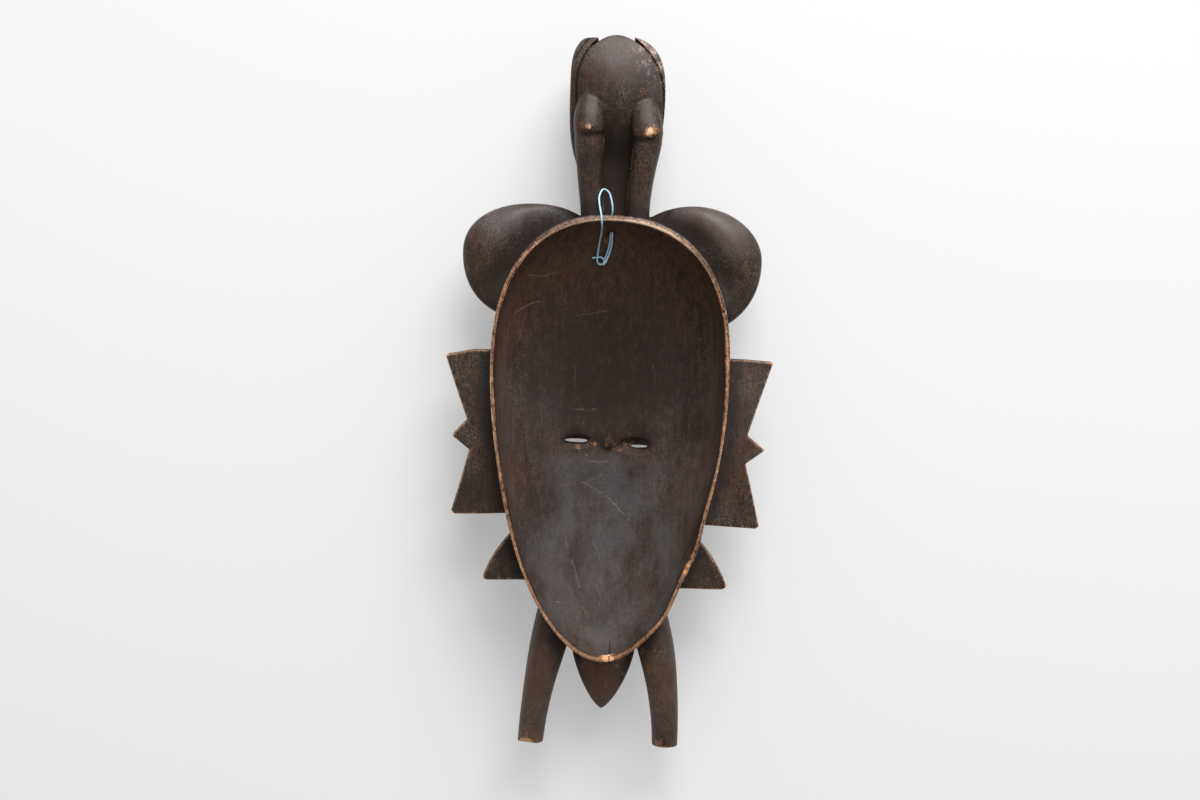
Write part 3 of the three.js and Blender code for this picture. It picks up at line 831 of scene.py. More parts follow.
def fin(side, points):
    start, middle, tip, under, end = [np.array(p, float) for p in points]
    outline = []
    for step in range(9):
        t = step / 8
        outline.append((1 - t) ** 2 * start + 2 * t * (1 - t) * middle + t ** 2 * tip)
    outline += [under, end]
    return board([(side * x, y) for x, y in outline], fins["depth"], fins["thickness"], 1.1, 0.3)


# Legs and the pointed tongue of the chin between them
legs = {
    "depth": 26.0,
    "flat": 0.95,
    "radii": [11, 11, 10.2, 8.7, 7.7, 7.2],
    "left": [(21.4, -112), (26.4, -132), (30.8, -150), (34.6, -169), (37.2, -188), (38.7, -206)],
    "right": [(21.4, -112), (27.4, -133), (32, -151), (35.5, -170), (37.7, -189), (38.5, -206)],
    "chin": egg(1.2, -148, 18.2, 26, 36.2, 2.0, 1.4),
    "chinDepth": 31.0,
    "chinHalfThickness": 8.0,
}


def leg(side, middles):
    stations = [
        (side * x, y, legs["depth"], radius, radius * legs["flat"])
        for (x, y), radius in zip(middles, legs["radii"])
    ]
    return limb(stations, steps=3)


# Bird on top, on its own leaning axis. Its back and folded wings are cut to one broad dome, which falls
# away between the legs. The legs are rows of: along, aside left, aside right, depth, wide, deep.
bird = {
    "baseX": 1.1,
    "baseY": 98.0,
    "lean": -0.022,
    "dome": (165, 36, 42, 62, 2.6, 2.2),
    "domeDepth": 31.0,
    "domeHalfThickness": 24.5,
    "fall": 0.42,
    "fallFrom": 158.0,
    "fallEase": 12.0,
    "rump": (165, 23.5, 30.6, 60, 1.85, 2.6),
    "rumpAside": 0.8,
    "rumpLean": 0.058,
    "leftWing": (162, 26.8, 34.2, 50, 3.8, 2.6),
    "rightWing": (162, 26.0, 33.2, 50, 2.8, 2.6),
    "wingTop": 193.9,
    "wingsLower": 0.9,
    "wingsThick": 23.0,
    "line": 0.62,  # half-width of the line cut round the rump
    "lineDeep": 1.5,  # and how deep its middle lies
    "web": [(84, 17), (98, 17.8), (116, 19.8), (136, 20.5), (148, 19)],
    "webDepth": 23.5,
    "webFront": 42.0,
    "shins": [
        (86, 12.6, 11.8, 20.5, 6.5, 7.2), (102, 13.3, 12.3, 19.6, 6.6, 7.4),
        (113, 14.3, 13.3, 18.6, 6.8, 7.8), (124.6, 15.0, 14.8, 17.3, 7.3, 8.5),
        (133, 15.4, 16.0, 16.2, 7.9, 9.0), (140, 15.5, 16.5, 15.6, 8.3, 9.2),
        (147, 15.4, 16.0, 16.4, 7.4, 8.4),
    ],
    "thighs": [
        (144.2, 15.7, 16.5, 12.8, 8.6, 9.4), (149, 15.7, 15.8, 13.6, 8.8, 9.0),
        (155, 15.3, 15.0, 15.0, 7.9, 7.8), (160, 15.0, 14.4, 16.6, 6.6, 6.6),
        (163.4, 14.8, 14.2, 18.2, 4.8, 5.0), (165.6, 14.7, 14.1, 19.6, 2.6, 3.0),
    ],
    "head": (165, 11, 16, 15, 2.0, 2.0),
    "headDepth": 53.0,
    "headHalfThickness": 15.0,
    "beak": [(160, 0, 56, 7.4, 8.6), (142, 0, 57, 5.8, 7.2), (124, 0, 52.5, 4.6, 6), (108, 0, 44, 3, 4.4)],
}


def birdX(along):
    return bird["baseX"] + (along - bird["baseY"]) * bird["lean"]


def birdEgg(sizes):
    return egg(birdX(sizes[0]), *sizes)


def domeDistance(points, lower):
    past = bird["fallFrom"] - points[:, 1]
    fall = bird["fall"] * (np.hypot(past, bird["fallEase"]) + past) / 2
    moved = points.copy()
    moved[:, 2] += fall + lower
    distance = eggDistance(
        moved, birdEgg(bird["dome"]), above(bird["domeDepth"]), bird["domeHalfThickness"], 2.2,
    )
    return distance / math.hypot(1, bird["fall"])


# The rump leans further over than the wings
def leant(points):
    moved = points.copy()
    moved[:, 0] += bird["rumpLean"] * (points[:, 1] - bird["rump"][0]) - bird["rumpAside"]
    return moved


def fromRump(points):
    return fromEgg(birdEgg(bird["rump"]), leant(points))


# Upright sides on an egg outline, cut to the dome at the back and closed by a swelling in front
def underDome(e, lower, edge, side=0):
    middle, thick = above(bird["domeDepth"]), bird["wingsThick"]

    def distance(points):
        sides = eggDistance(points if side else leant(points), e, middle, thick, 2.6, openTop=True)
        sides = np.maximum(sides, -side * (points[:, 0] - e["x"]) - 4)
        if side < 0:
            sides = softMost(sides, points[:, 1] - bird["wingTop"], 1.5)
        return softMost(domeDistance(points, lower), sides, edge)

    return eggForm(e, middle - thick, middle + bird["domeHalfThickness"] + 1, distance)


# A line cut into the dome round the rump
def featherLine(aside, radius, where):
    def distance(points):
        down = np.clip(domeDistance(points, bird["lineDeep"]), None, 0)
        return np.hypot(fromRump(points) - aside, down) - radius + 3 * (1 - where(points))

    middle = above(bird["domeDepth"])
    return {"low": (-30, 135, middle), "high": (30, 200, middle + 27), "distance": distance}


# The wings' tops stand free of the rump
def wingSlot(fromY):
    def distance(points):
        wide = 0.4 + 0.07 * np.clip(points[:, 1] - fromY, 0, 6)
        return np.maximum(np.abs(fromRump(points) - wide) - wide, fromY - points[:, 1])

    middle = above(bird["domeDepth"])
    return {"low": (-30, fromY, middle - 4), "high": (30, 204, middle + 26), "distance": distance}


def birdLeg(part, side):
    column = 1 if side < 0 else 2
    lower = 1.8 if side > 0 and part == "thighs" else 0
    stations = [(birdX(row[0]) + side * row[column], row[0] - lower, *row[3:]) for row in bird[part]]
    return limb(stations, steps=3, square=2.4, cap=0.72)


def clayBird():
    add(underDome(birdEgg(bird["leftWing"]), bird["wingsLower"], 1.2, -1), 1.5)
    add(underDome(birdEgg(bird["rightWing"]), bird["wingsLower"], 1.2, 1), 1.5)
    cut(wingSlot(189), 0.4)
    add(underDome(birdEgg(bird["rump"]), 0.0, 1.0), 0.2)
    cut(featherLine(0.55, bird["line"], lambda p: ease(p[:, 1], 138, 150)), 0.2)
    cut(featherLine(4.2, 0.45, lambda p: ease(p[:, 1], 176, 182) * ease(-p[:, 0], 4, 9)), 0.2)
    edge = [(birdX(y) + width, y) for y, width in bird["web"]]
    edge += [(birdX(y) - width, y) for y, width in reversed(bird["web"])]
    add(board(edge, bird["webDepth"], bird["webFront"] - bird["webDepth"], 2.0), 4)
    for side in (-1, 1):
        add(birdLeg("shins", side), 1.0)
        add(birdLeg("thighs", side), 0.8)
    add(pillow(birdEgg(bird["head"]), bird["headDepth"], bird["headHalfThickness"], 2.0), 3)
    beak = [(birdX(along), along, *rest[1:]) for along, *rest in bird["beak"]]
    add(limb(beak, steps=4), 2.5)


# Face side: calm and plain, with arched brows, half-closed eyes, a long nose and a small square mouth
face = {
    "brow": [(4, -18), (14, -9.5), (28, -7.5), (42, -14), (50, -25)],
    "browRadius": 3.0,
    "nose": [
        (0, -10, 47, 3.6, 9), (0, -26, 48, 3.8, 11), (0, -46, 48, 4.8, 14), (0, -61, 48, 7.6, 16),
        (0, -67, 47, 6, 12),
    ],
    "eye": (18.5, -31.5, 13.5, 8.0),
    "eyeStand": 3.5,
    "mouth": (-99, 12.5, 6.6),
    "mouthBase": (-97, 18.0, 13.0),
    "cheekBars": 3,
    "lozenge": (34, 7.0, 12.0, 2.2),
}
slits = [(-24.6, -11.1, -32.0, 2.9), (13.7, 23.6, -34.0, 2.1)]  # from, to, y and height


def outsideDepth(x, y):
    share = eggShare(shell["face"], np.array([x], float), np.array([y], float))[0][0]
    return float(shell["depth"] * max(0.0, 1 - share ** shell["curve"]) ** (1 / shell["curve"]))


def clayFace():
    for side in (-1, 1):
        stations = [
            (side * x, y, outsideDepth(x, y) + 1.2, face["browRadius"], face["browRadius"])
            for x, y in face["brow"]
        ]
        add(limb(stations), 2.2)
    add(limb(face["nose"]), 2.5)
    aside, y, halfWidth, halfHeight = face["eye"]
    for side in (-1, 1):
        lid = egg(side * aside, y, halfWidth, halfHeight, halfHeight)
        add(pillow(lid, outsideDepth(aside, y) - 3, face["eyeStand"] + 3, 2), 1.0)
    for side in (-1, 1):
        for i in range(face["cheekBars"]):
            barX, barY = side * (37 - i * 1.5), -58 - i * 7.5
            bar = egg(barX, barY, 8.5, 1.9, 1.9)
            add(pillow(bar, outsideDepth(abs(barX), barY) - 1.5, 4.3, 2), 0.8)
    clayMouth()
    y, halfWidth, halfHeight, stand = face["lozenge"]
    front = shell["swellDepth"] + shell["forehead"][1] + stand
    outline = [(0, y + halfHeight), (-halfWidth, y), (0, y - halfHeight), (halfWidth, y)]
    add(board(outline, front - 10, 10, 0.8), 0.8)


def clayMouth():
    mouthY, mouthWide, mouthHigh = face["mouth"]
    baseY, baseWide, baseHigh = face["mouthBase"]
    top = above(shell["swellDepth"] + shell["muzzle"][1] - 8)

    def snout(points):
        x, y, z = points.T
        t = np.clip((top - z) / (top + 2), 0, 1)
        spread = 1 - (1 - t) ** 2.2
        wide = baseWide + (mouthWide - baseWide) * spread
        high = baseHigh + (mouthHigh - baseHigh) * spread
        off = y - (baseY + (mouthY - baseY) * spread)
        q = ((np.abs(x) / wide) ** 3 + (np.abs(off) / high) ** 3) ** (1 / 3) + 1e-5
        distance = (q - 1) * np.minimum(wide, high)
        return softMost(distance, z - top, 3)

    low, high = (-baseWide, baseY - baseHigh, -3), (baseWide, baseY + baseHigh, top)
    add({"low": low, "high": high, "distance": snout}, 3)


def slit(start, end, y, height):
    e = egg((start + end) / 2, y, (end - start) / 2, height / 2, height / 2, 3.0, 2.4)
    return eggPrism(e, above(shell["depth"] + 12), above(shell["hollowDepth"] - 12))


# Pits along the left of the rim: y of both ends
rimPits = [(3.5, -7.0), (-10.0, -19.0), (-24.0, -36.0)]
# Chips out of its edge: x, y and size
rimChips = [(19.8, 88.6, 1.0), (28.8, 85.4, 0.9), (61.2, 45.4, 1.0), (-20.5, 90.5, 0.7), (47.5, -92.0, 1.2)]
crack = (4.6, -148.0, 0.3)  # x, y and half-width of the crack through the lower end of the rim
# The hole for the wire and a smaller one beside it: both ends as x, y, depth and two radii
holes = [
    ([(-1.3, 77, 24.4, 2.1, 1.9), (-1.2, 101, 13.5, 2.1, 1.9)], 0.6),
    ([(-4.2, 82.3, 23.2, 1.3, 1.4), (-2.8, 88, 18.6, 1.0, 1.4)], 0.4),
]


def rimLine(y, side, inward):
    e = grown(shell["face"], -inward)
    height, power = (e["above"], e["roundAbove"]) if y > e["y"] else (e["below"], e["roundBelow"])
    return side * e["halfWidth"] * (1 - (abs(y - e["y"]) / height) ** power) ** (1 / power)


# The back edge of the left leg's end is worn to a small slanting facet
def legFacet():
    rise = legs["radii"][-1] * legs["flat"]
    back = above(legs["depth"]) + rise

    def distance(points):
        x, y, z = points.T
        return ((y - carving["legEnd"] - 3.6) - (z - back) + 0.42 * (x + 41)) / 1.48

    return {"low": (-50, -212, back - 9), "high": (-30, -192, back + 4), "distance": distance}


def rimDamage():
    for start, end in rimPits:
        stations = [
            (rimLine(y, -1, 1.5), y, 0.1, 0.45 + 0.25 * (i == 1), 0.7)
            for i, y in enumerate((start, (start + end) / 2, end))
        ]
        cut(limb(stations, steps=3), 0.3)
    for x, y, size in rimChips:
        cut(pillow(egg(x, y, size, size * 0.8, size), 0.5, size * 0.8, 2), 0.3)
    x, y, halfWidth = crack
    cut(block((x - halfWidth, y - 9, above(2.6)), (x + halfWidth * 0.6, y + 4, above(-6))), 0.3)


def buildClay():
    outline, rim = shell["face"], carving["rimHeight"]
    add(eggForm(outline, above(shell["depth"]), rim, shellDistance, room=2), 0.5)
    for key in ("forehead", "muzzle"):
        e, halfThickness = shell[key]
        add(pillow(e, shell["swellDepth"], halfThickness), 5)
    for e in horns["eggs"]:
        add(horn(e), 1.6)
        for number in range(1, horns["grooves"] + 1):
            cut(hornGroove(e, number), 0.8)
    for side, key in ((-1, "left"), (1, "right")):
        add(sideBoard(side, boards[key]), 2.2)
        add(fin(side, fins[key]), 2.2)
        add(leg(side, legs[key]), 2.2)
    add(pillow(legs["chin"], legs["chinDepth"], legs["chinHalfThickness"], 2), 2)
    clayBird()
    clayFace()
    cut(eggForm(outline, above(shell["hollowDepth"] + 4), rim + 8, hollowDistance), shell["lipRound"])
    for values in slits:
        cut(slit(*values), 0.7)
    for stations, soft in holes:
        cut(limb(stations, steps=1), soft)
    rimDamage()
    cut(legFacet(), 0.4)
    # Both of these reach well past the mask
    floor = block((-130, -260, -60), (130, 260, 0))
    sawn = block((-130, -330, -60), (130, carving["legEnd"], 120))
    for form in (floor, sawn):
        form["straight"] = True
        cut(form, 0.7)


# The skin of the clay, by surface nets: one vertex in each cell that the surface passes through
def skinOf(field, low, step):
    strides = np.array([field.shape[1] * field.shape[2], field.shape[2], 1])
    flat = field.ravel()
    inside = field < 0
    places, cells, quads = [], [], []
    for axis in range(3):
        first, second = [slice(None)] * 3, [slice(None)] * 3
        first[axis], second[axis] = slice(0, -1), slice(1, None)
        edges = np.argwhere(inside[tuple(first)] != inside[tuple(second)])
        start = edges @ strides
        a, b = flat[start], flat[start + strides[axis]]
        crossing = edges.astype(float)
        crossing[:, axis] += a / (a - b)
        u, v = strides[(axis + 1) % 3], strides[(axis + 2) % 3]
        ring = np.stack([start - u - v, start - v, start, start - u], axis=1)
        ring[a > 0] = ring[a > 0][:, ::-1]
        quads.append(ring)
        cells.append(ring.ravel())
        places.append(np.repeat(crossing, 4, axis=0))
    ids, which = np.unique(np.concatenate(cells), return_inverse=True)
    places = np.concatenate(places)
    count = np.bincount(which)
    vertices = np.stack([np.bincount(which, places[:, i]) / count for i in range(3)], axis=1)
    return low + vertices * step, np.searchsorted(ids, np.concatenate(quads))


# Distances on a fine grid, worked out only near the surface that a grid four times as coarse finds
def clayGrid(low, high, step):
    ratio = 4
    cells = np.ceil((np.array(high) - low) / (step * ratio)).astype(int)
    axes = [low[i] + np.arange(cells[i] + 1) * step * ratio for i in range(3)]
    nodes = np.stack(np.meshgrid(*axes, indexing="ij"), axis=-1).reshape(-1, 3).astype(np.float32)
    coarse = clayAt(nodes).reshape(cells + 1)
    near = np.abs(coarse) < step * ratio * 1.8
    corner = [slice(0, -1), slice(1, None)]
    anyNear = np.zeros(cells, bool)
    for i in range(8):
        anyNear |= near[corner[i & 1], corner[i >> 1 & 1], corner[i >> 2 & 1]]
    field = coarse[:-1, :-1, :-1]
    for axis in range(3):
        field = np.repeat(field, ratio, axis=axis)
        anyNear = np.repeat(anyNear, ratio, axis=axis)
    field = np.ascontiguousarray(field)
    index = np.argwhere(anyNear)
    points = (low + index * step).astype(np.float32)
    field[anyNear] = clayAt(points)
    print(f"clay: {len(points)} points of the grid near the surface")
    return field


# The clay a little further and a little back along each axis
def bothSides(points, size):
    for axis in range(3):
        off = np.zeros(3, np.float32)
        off[axis] = size
        yield clayAt(points + off), clayAt(points - off)


def slopeAt(points):
    size = 0.12
    slope = np.zeros_like(points)
    for axis, (further, back) in enumerate(bothSides(points, size)):
        slope[:, axis] = (further - back) / (2 * size)
    return slope


# Moves points onto the surface itself
def settled(points):
    slope = slopeAt(points)
    strength = np.clip((slope ** 2).sum(1), 0.2, None)
    step = np.clip(clayAt(points) / strength, -0.5, 0.5)
    return points - step[:, None] * slope


def meshOf(name, vertices, faces):
    mesh = bpy.data.meshes.new(name)
    mesh.vertices.add(len(vertices))
    mesh.vertices.foreach_set("co", np.asarray(vertices, np.float32).ravel())
    size = faces.shape[1]
    mesh.loops.add(len(faces) * size)
    mesh.loops.foreach_set("vertex_index", faces.astype(np.int32).ravel())
    mesh.polygons.add(len(faces))
    mesh.polygons.foreach_set("loop_start", np.arange(len(faces), dtype=np.int32) * size)
    mesh.update(calc_edges=True)
    mesh.validate()
    return mesh


def verticesOf(mesh):
    places = np.zeros(len(mesh.vertices) * 3, np.float32)
    mesh.vertices.foreach_get("co", places)
    return places.reshape(-1, 3)


def thinned(mesh, triangles):
    source = linked("thinning", mesh)
    count = sum(len(p.vertices) - 2 for p in mesh.polygons)
    modifier = source.modifiers.new("thin", "DECIMATE")
    modifier.ratio = min(1.0, triangles / count)
    evaluated = source.evaluated_get(bpy.context.evaluated_depsgraph_get())
    result = bpy.data.meshes.new_from_object(evaluated)
    bpy.data.objects.remove(source)
    return result


# How sharp the surface is: more than 0 at an edge and less than 0 in a groove
def sharpness(points, reach):
    total = -6 * clayAt(points)
    for further, back in bothSides(points, reach):
        total += further + back
    return total / reach ** 2


# How shut in a point is, from how far the wood is from three places in front of it. The wood is darkened
# there as painted shade.
def shutIn(points, outward):
    reach = 18.0
    room = np.zeros(len(points))
    for share in (0.25, 0.6, 1.0):
        room += clayAt((points + outward * reach * share).astype(np.float32)) / (reach * share)
    return np.clip(1 - room / 3, 0, 1)


# Where handling has rubbed the stain away: x, y, lowest z, size and strength
wornSpots = [
    (-15.7, 144.4, 52, 2.0, 0.75), (17.9, 142.4, 52, 3.0, 1.0), (20.4, 143.6, 50, 3.4, 0.55),
    (18.6, 186.5, 40, 4.2, 0.66), (12.5, 191, 40, 4.2, 0.66), (22.5, 179, 40, 4, 0.6), (-18, 190, 40, 4, 0.3),
    (9, 187, 40, 8, 0.36), (15, 181, 40, 7, 0.38), (18, 172, 40, 6, 0.26), (25, 170, 40, 3, 0.5),
    (14, 166, 40, 3, 0.36), (-4.4, 82.6, 36, 2.0, 0.62), (4.0, -149.4, 62, 4.8, 1.1),
    (45.4, -99, 60, 2.6, 0.9), (47, -95.4, 60, 2.2, 0.9), (42, -107, 60, 4, 0.4), (20.6, 88, 60, 2.4, 1.0),
    (28.6, 85, 60, 2, 0.9), (30, -134, 60, 5.5, 0.42), (35.5, -203, 30, 5, 0.5), (24, -149, 30, 3, 0.42),
    (27.5, -158, 30, 2.6, 0.40), (10, -158.6, 30, 3, 0.46), (-9.4, -159, 30, 3, 0.42),
    # round the eyes: rubbed orange-brown wood, and under the slits also a painted lit lip
    (-14, -29, 18, 6, 0.14), (0, -31.5, 18, 8, 0.22), (11, -32.5, 18, 5, 0.34), (-8, -34, 18, 5, 0.36),
    (-17, -35.6, 18, 5, 0.28), (6, -36, 18, 4, 0.34), (21, -156, 30, 5, 0.36), (-91, 16.5, 40, 3, 0.4),
    (90, 17.5, 40, 3, 0.3), (-31.7, -21, 18, 1.3, 0.5), (26.7, -18.4, 18, 1.1, 0.5),
    (-3.5, 42.5, 18, 1.0, 0.5), (-24, -197, 30, 5, 0.2), (33, -150, 30, 6, 0.22), (-33, -190, 30, 6, 0.2),
    (1, -164, 30, 12, 0.28), (12, -153, 30, 3, 0.34), (-11, -154, 30, 2.4, 0.3), (14, -163, 30, 2.4, 0.36),
]
# Painted light and shade, with some tone of the wood: where the surface is painted paler (more than 0) or
# darker: x, y, both spreads and strength, outside and in the hollow. Outside, the tops of the crest and
# horns, the right board, the legs and the chin are painted lit, and the web between the bird's legs, the left
# board and the horns beside the rim painted shaded; inside, the top of the hollow is painted lit, and its
# middle, the scoops above the slits, its lower end and the wire's hole are painted shaded, and the crack is
# darker.
paintedLightAndTonesOutside = [
    (-77, -62, 13, 14, -1.3), (77, -10, 14, 34, 0.4), (0, 120, 9, 30, -1.4), (-15, 118, 8, 22, -0.5),
    (15, 118, 8, 22, -0.35), (0, 182, 18, 16, 0.7), (-57, 92, 22, 12, 0.7), (57, 94, 22, 14, 1.6),
    (-66, 58, 14, 14, -0.7), (-37, 72, 11, 18, -0.9), (42, 62, 8, 18, -0.3), (-37, -165, 12, 40, 0.7),
    (36, -165, 12, 40, 0.5), (1, -166, 18, 20, 1.3), (5, -147.5, 0.5, 4, -2.6),
    (56, 76, 10, 16, 0.4), (84, 70, 8, 16, -0.3),
]
paintedLightAndTonesInside = [
    (-17, -28.4, 7.5, 2.4, -1.1), (16, -29.2, 8, 3.2, -1.1), (0, 14, 46, 46, -1.3), (0, -32, 5, 4, -0.8),
    (0, -130, 22, 16, -0.55), (0, 78, 34, 12, 1.1), (-1, 87.3, 2.8, 1.8, -3), (5, -146.5, 0.5, 3.4, -3),
    (-42, -72, 12, 26, -0.6),
]
# Where the wood is painted greyer (more than 0), a painted sheen on the tops of the horns and crest and on
# the right board, or is redder
paintedSheenAndRednessOutside = [
    (-57, 92, 22, 12, 0.7), (57, 94, 22, 14, 1.3), (0, 184, 20, 14, 0.6), (85, -8, 12, 26, 0.4),
    (1, -158, 18, 24, -0.75), (24, -152, 5, 12, -0.7), (-14, -135, 6, 9, -0.4), (0, 108, 8, 14, -0.6),
    (-41, -203, 9, 6, -1.0), (46, -98, 5, 8, -1.0), (0, 96, 60, 10, 0.7), (15, 186, 12, 12, 1.0),
    (20, 168, 10, 8, 0.7),
]
paintedSideLight = 0.9  # painted light: the hollow's sides are painted paler than its bottom, down to these depths
paintedSideLightDepths = (12, 34)
# Lines worn down the bird's shins: points on their way, half-width and how pale they are
wornLines = [
    ([(-7.2, 139), (-6.9, 126), (-6.4, 112), (-6.2, 98)], 0.5, 0.44),
    ([(8.9, 133), (8.3, 122), (7.2, 112), (6.4, 98)], 0.5, 0.40),
]
wornLinesAbove = 46  # lowest z of these lines; that of the scratches is the next value
scratchesAbove = 18
# Scratches across the hollow, in the same way
scratches = [
    ([(-47, 62), (-39, 62), (-29.5, 64.5)], 0.42, 0.85),
    ([(-53, 41.5), (-47.5, 45.5), (-41.5, 47.5), (-38.5, 47)], 0.4, 0.75),
    ([(5, -143), (5.1, -150)], 0.4, 0),  # no scratch: the mesh is only made finer at the rim's crack
    ([(-19, 40), (-1.5, 43.5)], 0.3, 0.4),
    ([(-19, -13.4), (-13, -13.8), (-7.5, -13.2)], 0.5, 0.5),
    ([(-16.5, -53.5), (-10, -56), (0, -62), (10, -71.5), (14, -75.5)], 0.4, 0.72),
    ([(-11.5, -55), (-4, -51.5), (3, -47)], 0.3, 0.45),
    ([(-9.5, -42.5), (-4, -43.3), (0.5, -42.7)], 0.4, 0.5),
    ([(-7.7, -60), (-8.6, -68.5)], 0.3, 0.35),
    ([(-18, -98.5), (-15.5, -105.5), (-13.5, -113.5)], 0.6, 0.5),
    ([(-1.6, -109), (1, -115)], 0.4, 0.35),
    ([(2, -118), (4.5, -122)], 0.4, 0.45),
    ([(-25.4, -121), (-24.6, -121)], 0.5, 1.0),
    ([(-31.3, -56), (-30.8, -56.6)], 0.5, 0.7),
    ([(-12, -39.4), (-11.4, -39.8)], 0.4, 0.8),
    ([(-22, -84), (-20.6, -93)], 0.4, 0.3),
    ([(-7, -88), (-3, -94), (-2, -99)], 0.4, 0.28),
    ([(8, -101), (11, -108)], 0.45, 0.3),
    ([(-11, -124), (-7, -130)], 0.45, 0.4),
    ([(-3, -112), (-1, -120), (-2, -126)], 0.35, 0.35),
    ([(4, -131), (8, -134)], 0.4, 0.3),
    ([(5, -66), (9, -66.6), (13, -69)], 0.3, 0.35),
    ([(-38, -10), (-37.4, -24)], 0.35, 0.25),
    ([(25, 14), (26.4, 3)], 0.35, 0.22),
    ([(-20, 12), (-19, -1)], 0.4, 0.25),
]


def wornBy(points, outward):
    x, y, z = points.T
    worn = np.zeros(len(points))
    for line, halfWidth, strength in wornLines:
        here = strength * np.exp(-(lineDistance(points, line) / halfWidth) ** 2) * (z > wornLinesAbove)
        worn = np.maximum(worn, here)
    sawn = ease(-outward[:, 1], 0.3, 0.5) * ease(outward[:, 2], 0.3, 0.5) * (y < carving["legEnd"] + 7)
    worn = np.maximum(worn, sawn * np.where(x < 0, 0.92 - 0.5 * ease(x, -38, -35), 0.45))
    for atX, atY, fromZ, size, strength in wornSpots:
        here = strength * bump(x, y, atX, atY, size, size) * (z > fromZ) * ease(outward[:, 2], -0.2, 0.4)
        worn = np.maximum(worn, here)
    return worn


# How far in from the real outline points are
def fromSide(points):
    return -fromEgg(shell["face"], points) - sideWander(points[:, 0], points[:, 1])


# The rim is rubbed bare in a line at its very edge, and further in where it is broad
def rimWear(points):
    x, y, z = points.T
    fromEdge = fromSide(points)
    broad = lipShare(x, y)
    depth = np.clip(carving["rimHeight"] - z, 0, None)
    off = (fromEdge - 1.15 - 1.75 * broad) / (0.88 + 0.14 * broad)
    rubbed = 0.55 - 0.06 * broad + 0.34 * ease(y, 72, 92) + 0.14 * bump(x, y, 33, 84, 16, 12)
    rubbed = rubbed + 0.08 * bump(x, y, 66, 10, 12, 40)
    rubbed = rubbed + 0.10 * np.sin(y / 9 + x / 13) * np.sin(y / 23 + 1)
    outer = 0.44 * broad * np.exp(-((fromEdge - 1.2) / 1.3) ** 4)
    return np.maximum(rubbed * np.exp(-off ** 4), outer) * np.exp(-(depth / (1.6 + broad)) ** 2)


def insideOf(points):
    x, y, z = points.T
    deep = z > above(shell["hollowDepth"] + 6)
    fromLip = fromSide(points) - lipWidth(x, y)
    return ease(fromLip, -0.5, 0.5) * deep * ease(carving["rimHeight"] - z, 0.6, 2.2)


# How far points are from a line of straight stretches, seen from the back
def lineDistance(points, line, wobble=0.0):
    x, y = points[:, 0], points[:, 1]
    sway = wobble * (np.sin(y / 1.1 + x / 2.3) + np.sin(x / 0.8 - y / 3.1))
    best = np.full(len(points), 1e9)
    for a, b in zip(line, line[1:]):
        a, along = np.array(a, float), np.array(b, float) - a
        off = points[:, :2] + sway[:, None] - a
        t = np.clip(off @ along / (along @ along), 0, 1)
        best = np.minimum(best, np.linalg.norm(off - t[:, None] * along, axis=1))
    return best


def scratchesAt(points):
    depth = np.zeros(len(points))
    for line, halfWidth, strength in scratches:
        away = lineDistance(points, line, 0.16) / (halfWidth * 0.8)
        depth = np.maximum(depth, strength * np.exp(-away ** 2))
    return depth * (points[:, 2] > scratchesAbove)


# Adds soft patches to values: x, y, both spreads and strength of each
def withPatches(values, share, patches, points):
    for *place, strength in patches:
        values = values + share * strength * bump(points[:, 0], points[:, 1], *place)
    return values


# Painted light and shade: the hollow's sides painted lit, and the patches of the tables above
def toneAndPaintedLightAt(points, inside):
    y, depth = points[:, 1], carving["rimHeight"] - points[:, 2]
    side = paintedSideLight * (1 - ease(depth, *paintedSideLightDepths)) * ease(depth, 1, 4) * (1 - 0.45 * ease(-y, 50, 100))
    toneAndPaintedLight = withPatches(side * inside, 1 - inside, paintedLightAndTonesOutside, points)
    return withPatches(toneAndPaintedLight, inside, paintedLightAndTonesInside, points)


# Painted sheen: inside, the panel below the eyes and the lower sides painted greyer as a painted reflection,
# and the top of the hollow redder; outside, the table above
def paintedSheenAndRednessAt(points, inside):
    x, y = points[:, 0], points[:, 1]
    middle = ease(36 + 16 * ease(-y, 60, 100) - np.abs(x), 0, 18)
    paintedSheenAndRedness = inside * ease(-y, 34, 46) * middle * (1 - 0.3 * ease(-y, 105, 130))
    paintedSheenAndRedness = paintedSheenAndRedness - 0.4 * inside * ease(y, 20, 70)
    paintedSheenAndRedness = paintedSheenAndRedness + 0.4 * inside * ease(np.abs(x), 18, 36) * ease(20 - y, 0, 30)
    return withPatches(paintedSheenAndRedness, 1 - inside, paintedSheenAndRednessOutside, points)


# Smaller triangles along the scratches and round the bird's rump
def refined(mesh):
    work = bmesh.new()
    work.from_mesh(mesh)
    for reach in (2.0, 1.0, 0.55):
        work.verts.index_update()
        points = np.array([v.co for v in work.verts])
        near = np.zeros(len(points), bool)
        for line, *_ in scratches:
            near |= (lineDistance(points, line) < reach) & (np.abs(hollowDistance(points)) < 3)
        for line, *_ in wornLines:
            near |= (lineDistance(points, line) < reach) & (points[:, 2] > wornLinesAbove)
        near |= (np.abs(fromRump(points) - 0.6) < reach * 0.6) & (points[:, 1] > 145) & (reach > 1)
        near &= points[:, 2] > scratchesAbove
        edges = [e for e in work.edges if near[e.verts[0].index] or near[e.verts[1].index]]
        bmesh.ops.subdivide_edges(work, edges=edges, cuts=1, use_grid_fill=True)
        bmesh.ops.triangulate(work, faces=[f for f in work.faces if len(f.verts) > 3])
    work.to_mesh(mesh)
    work.free()
    return mesh


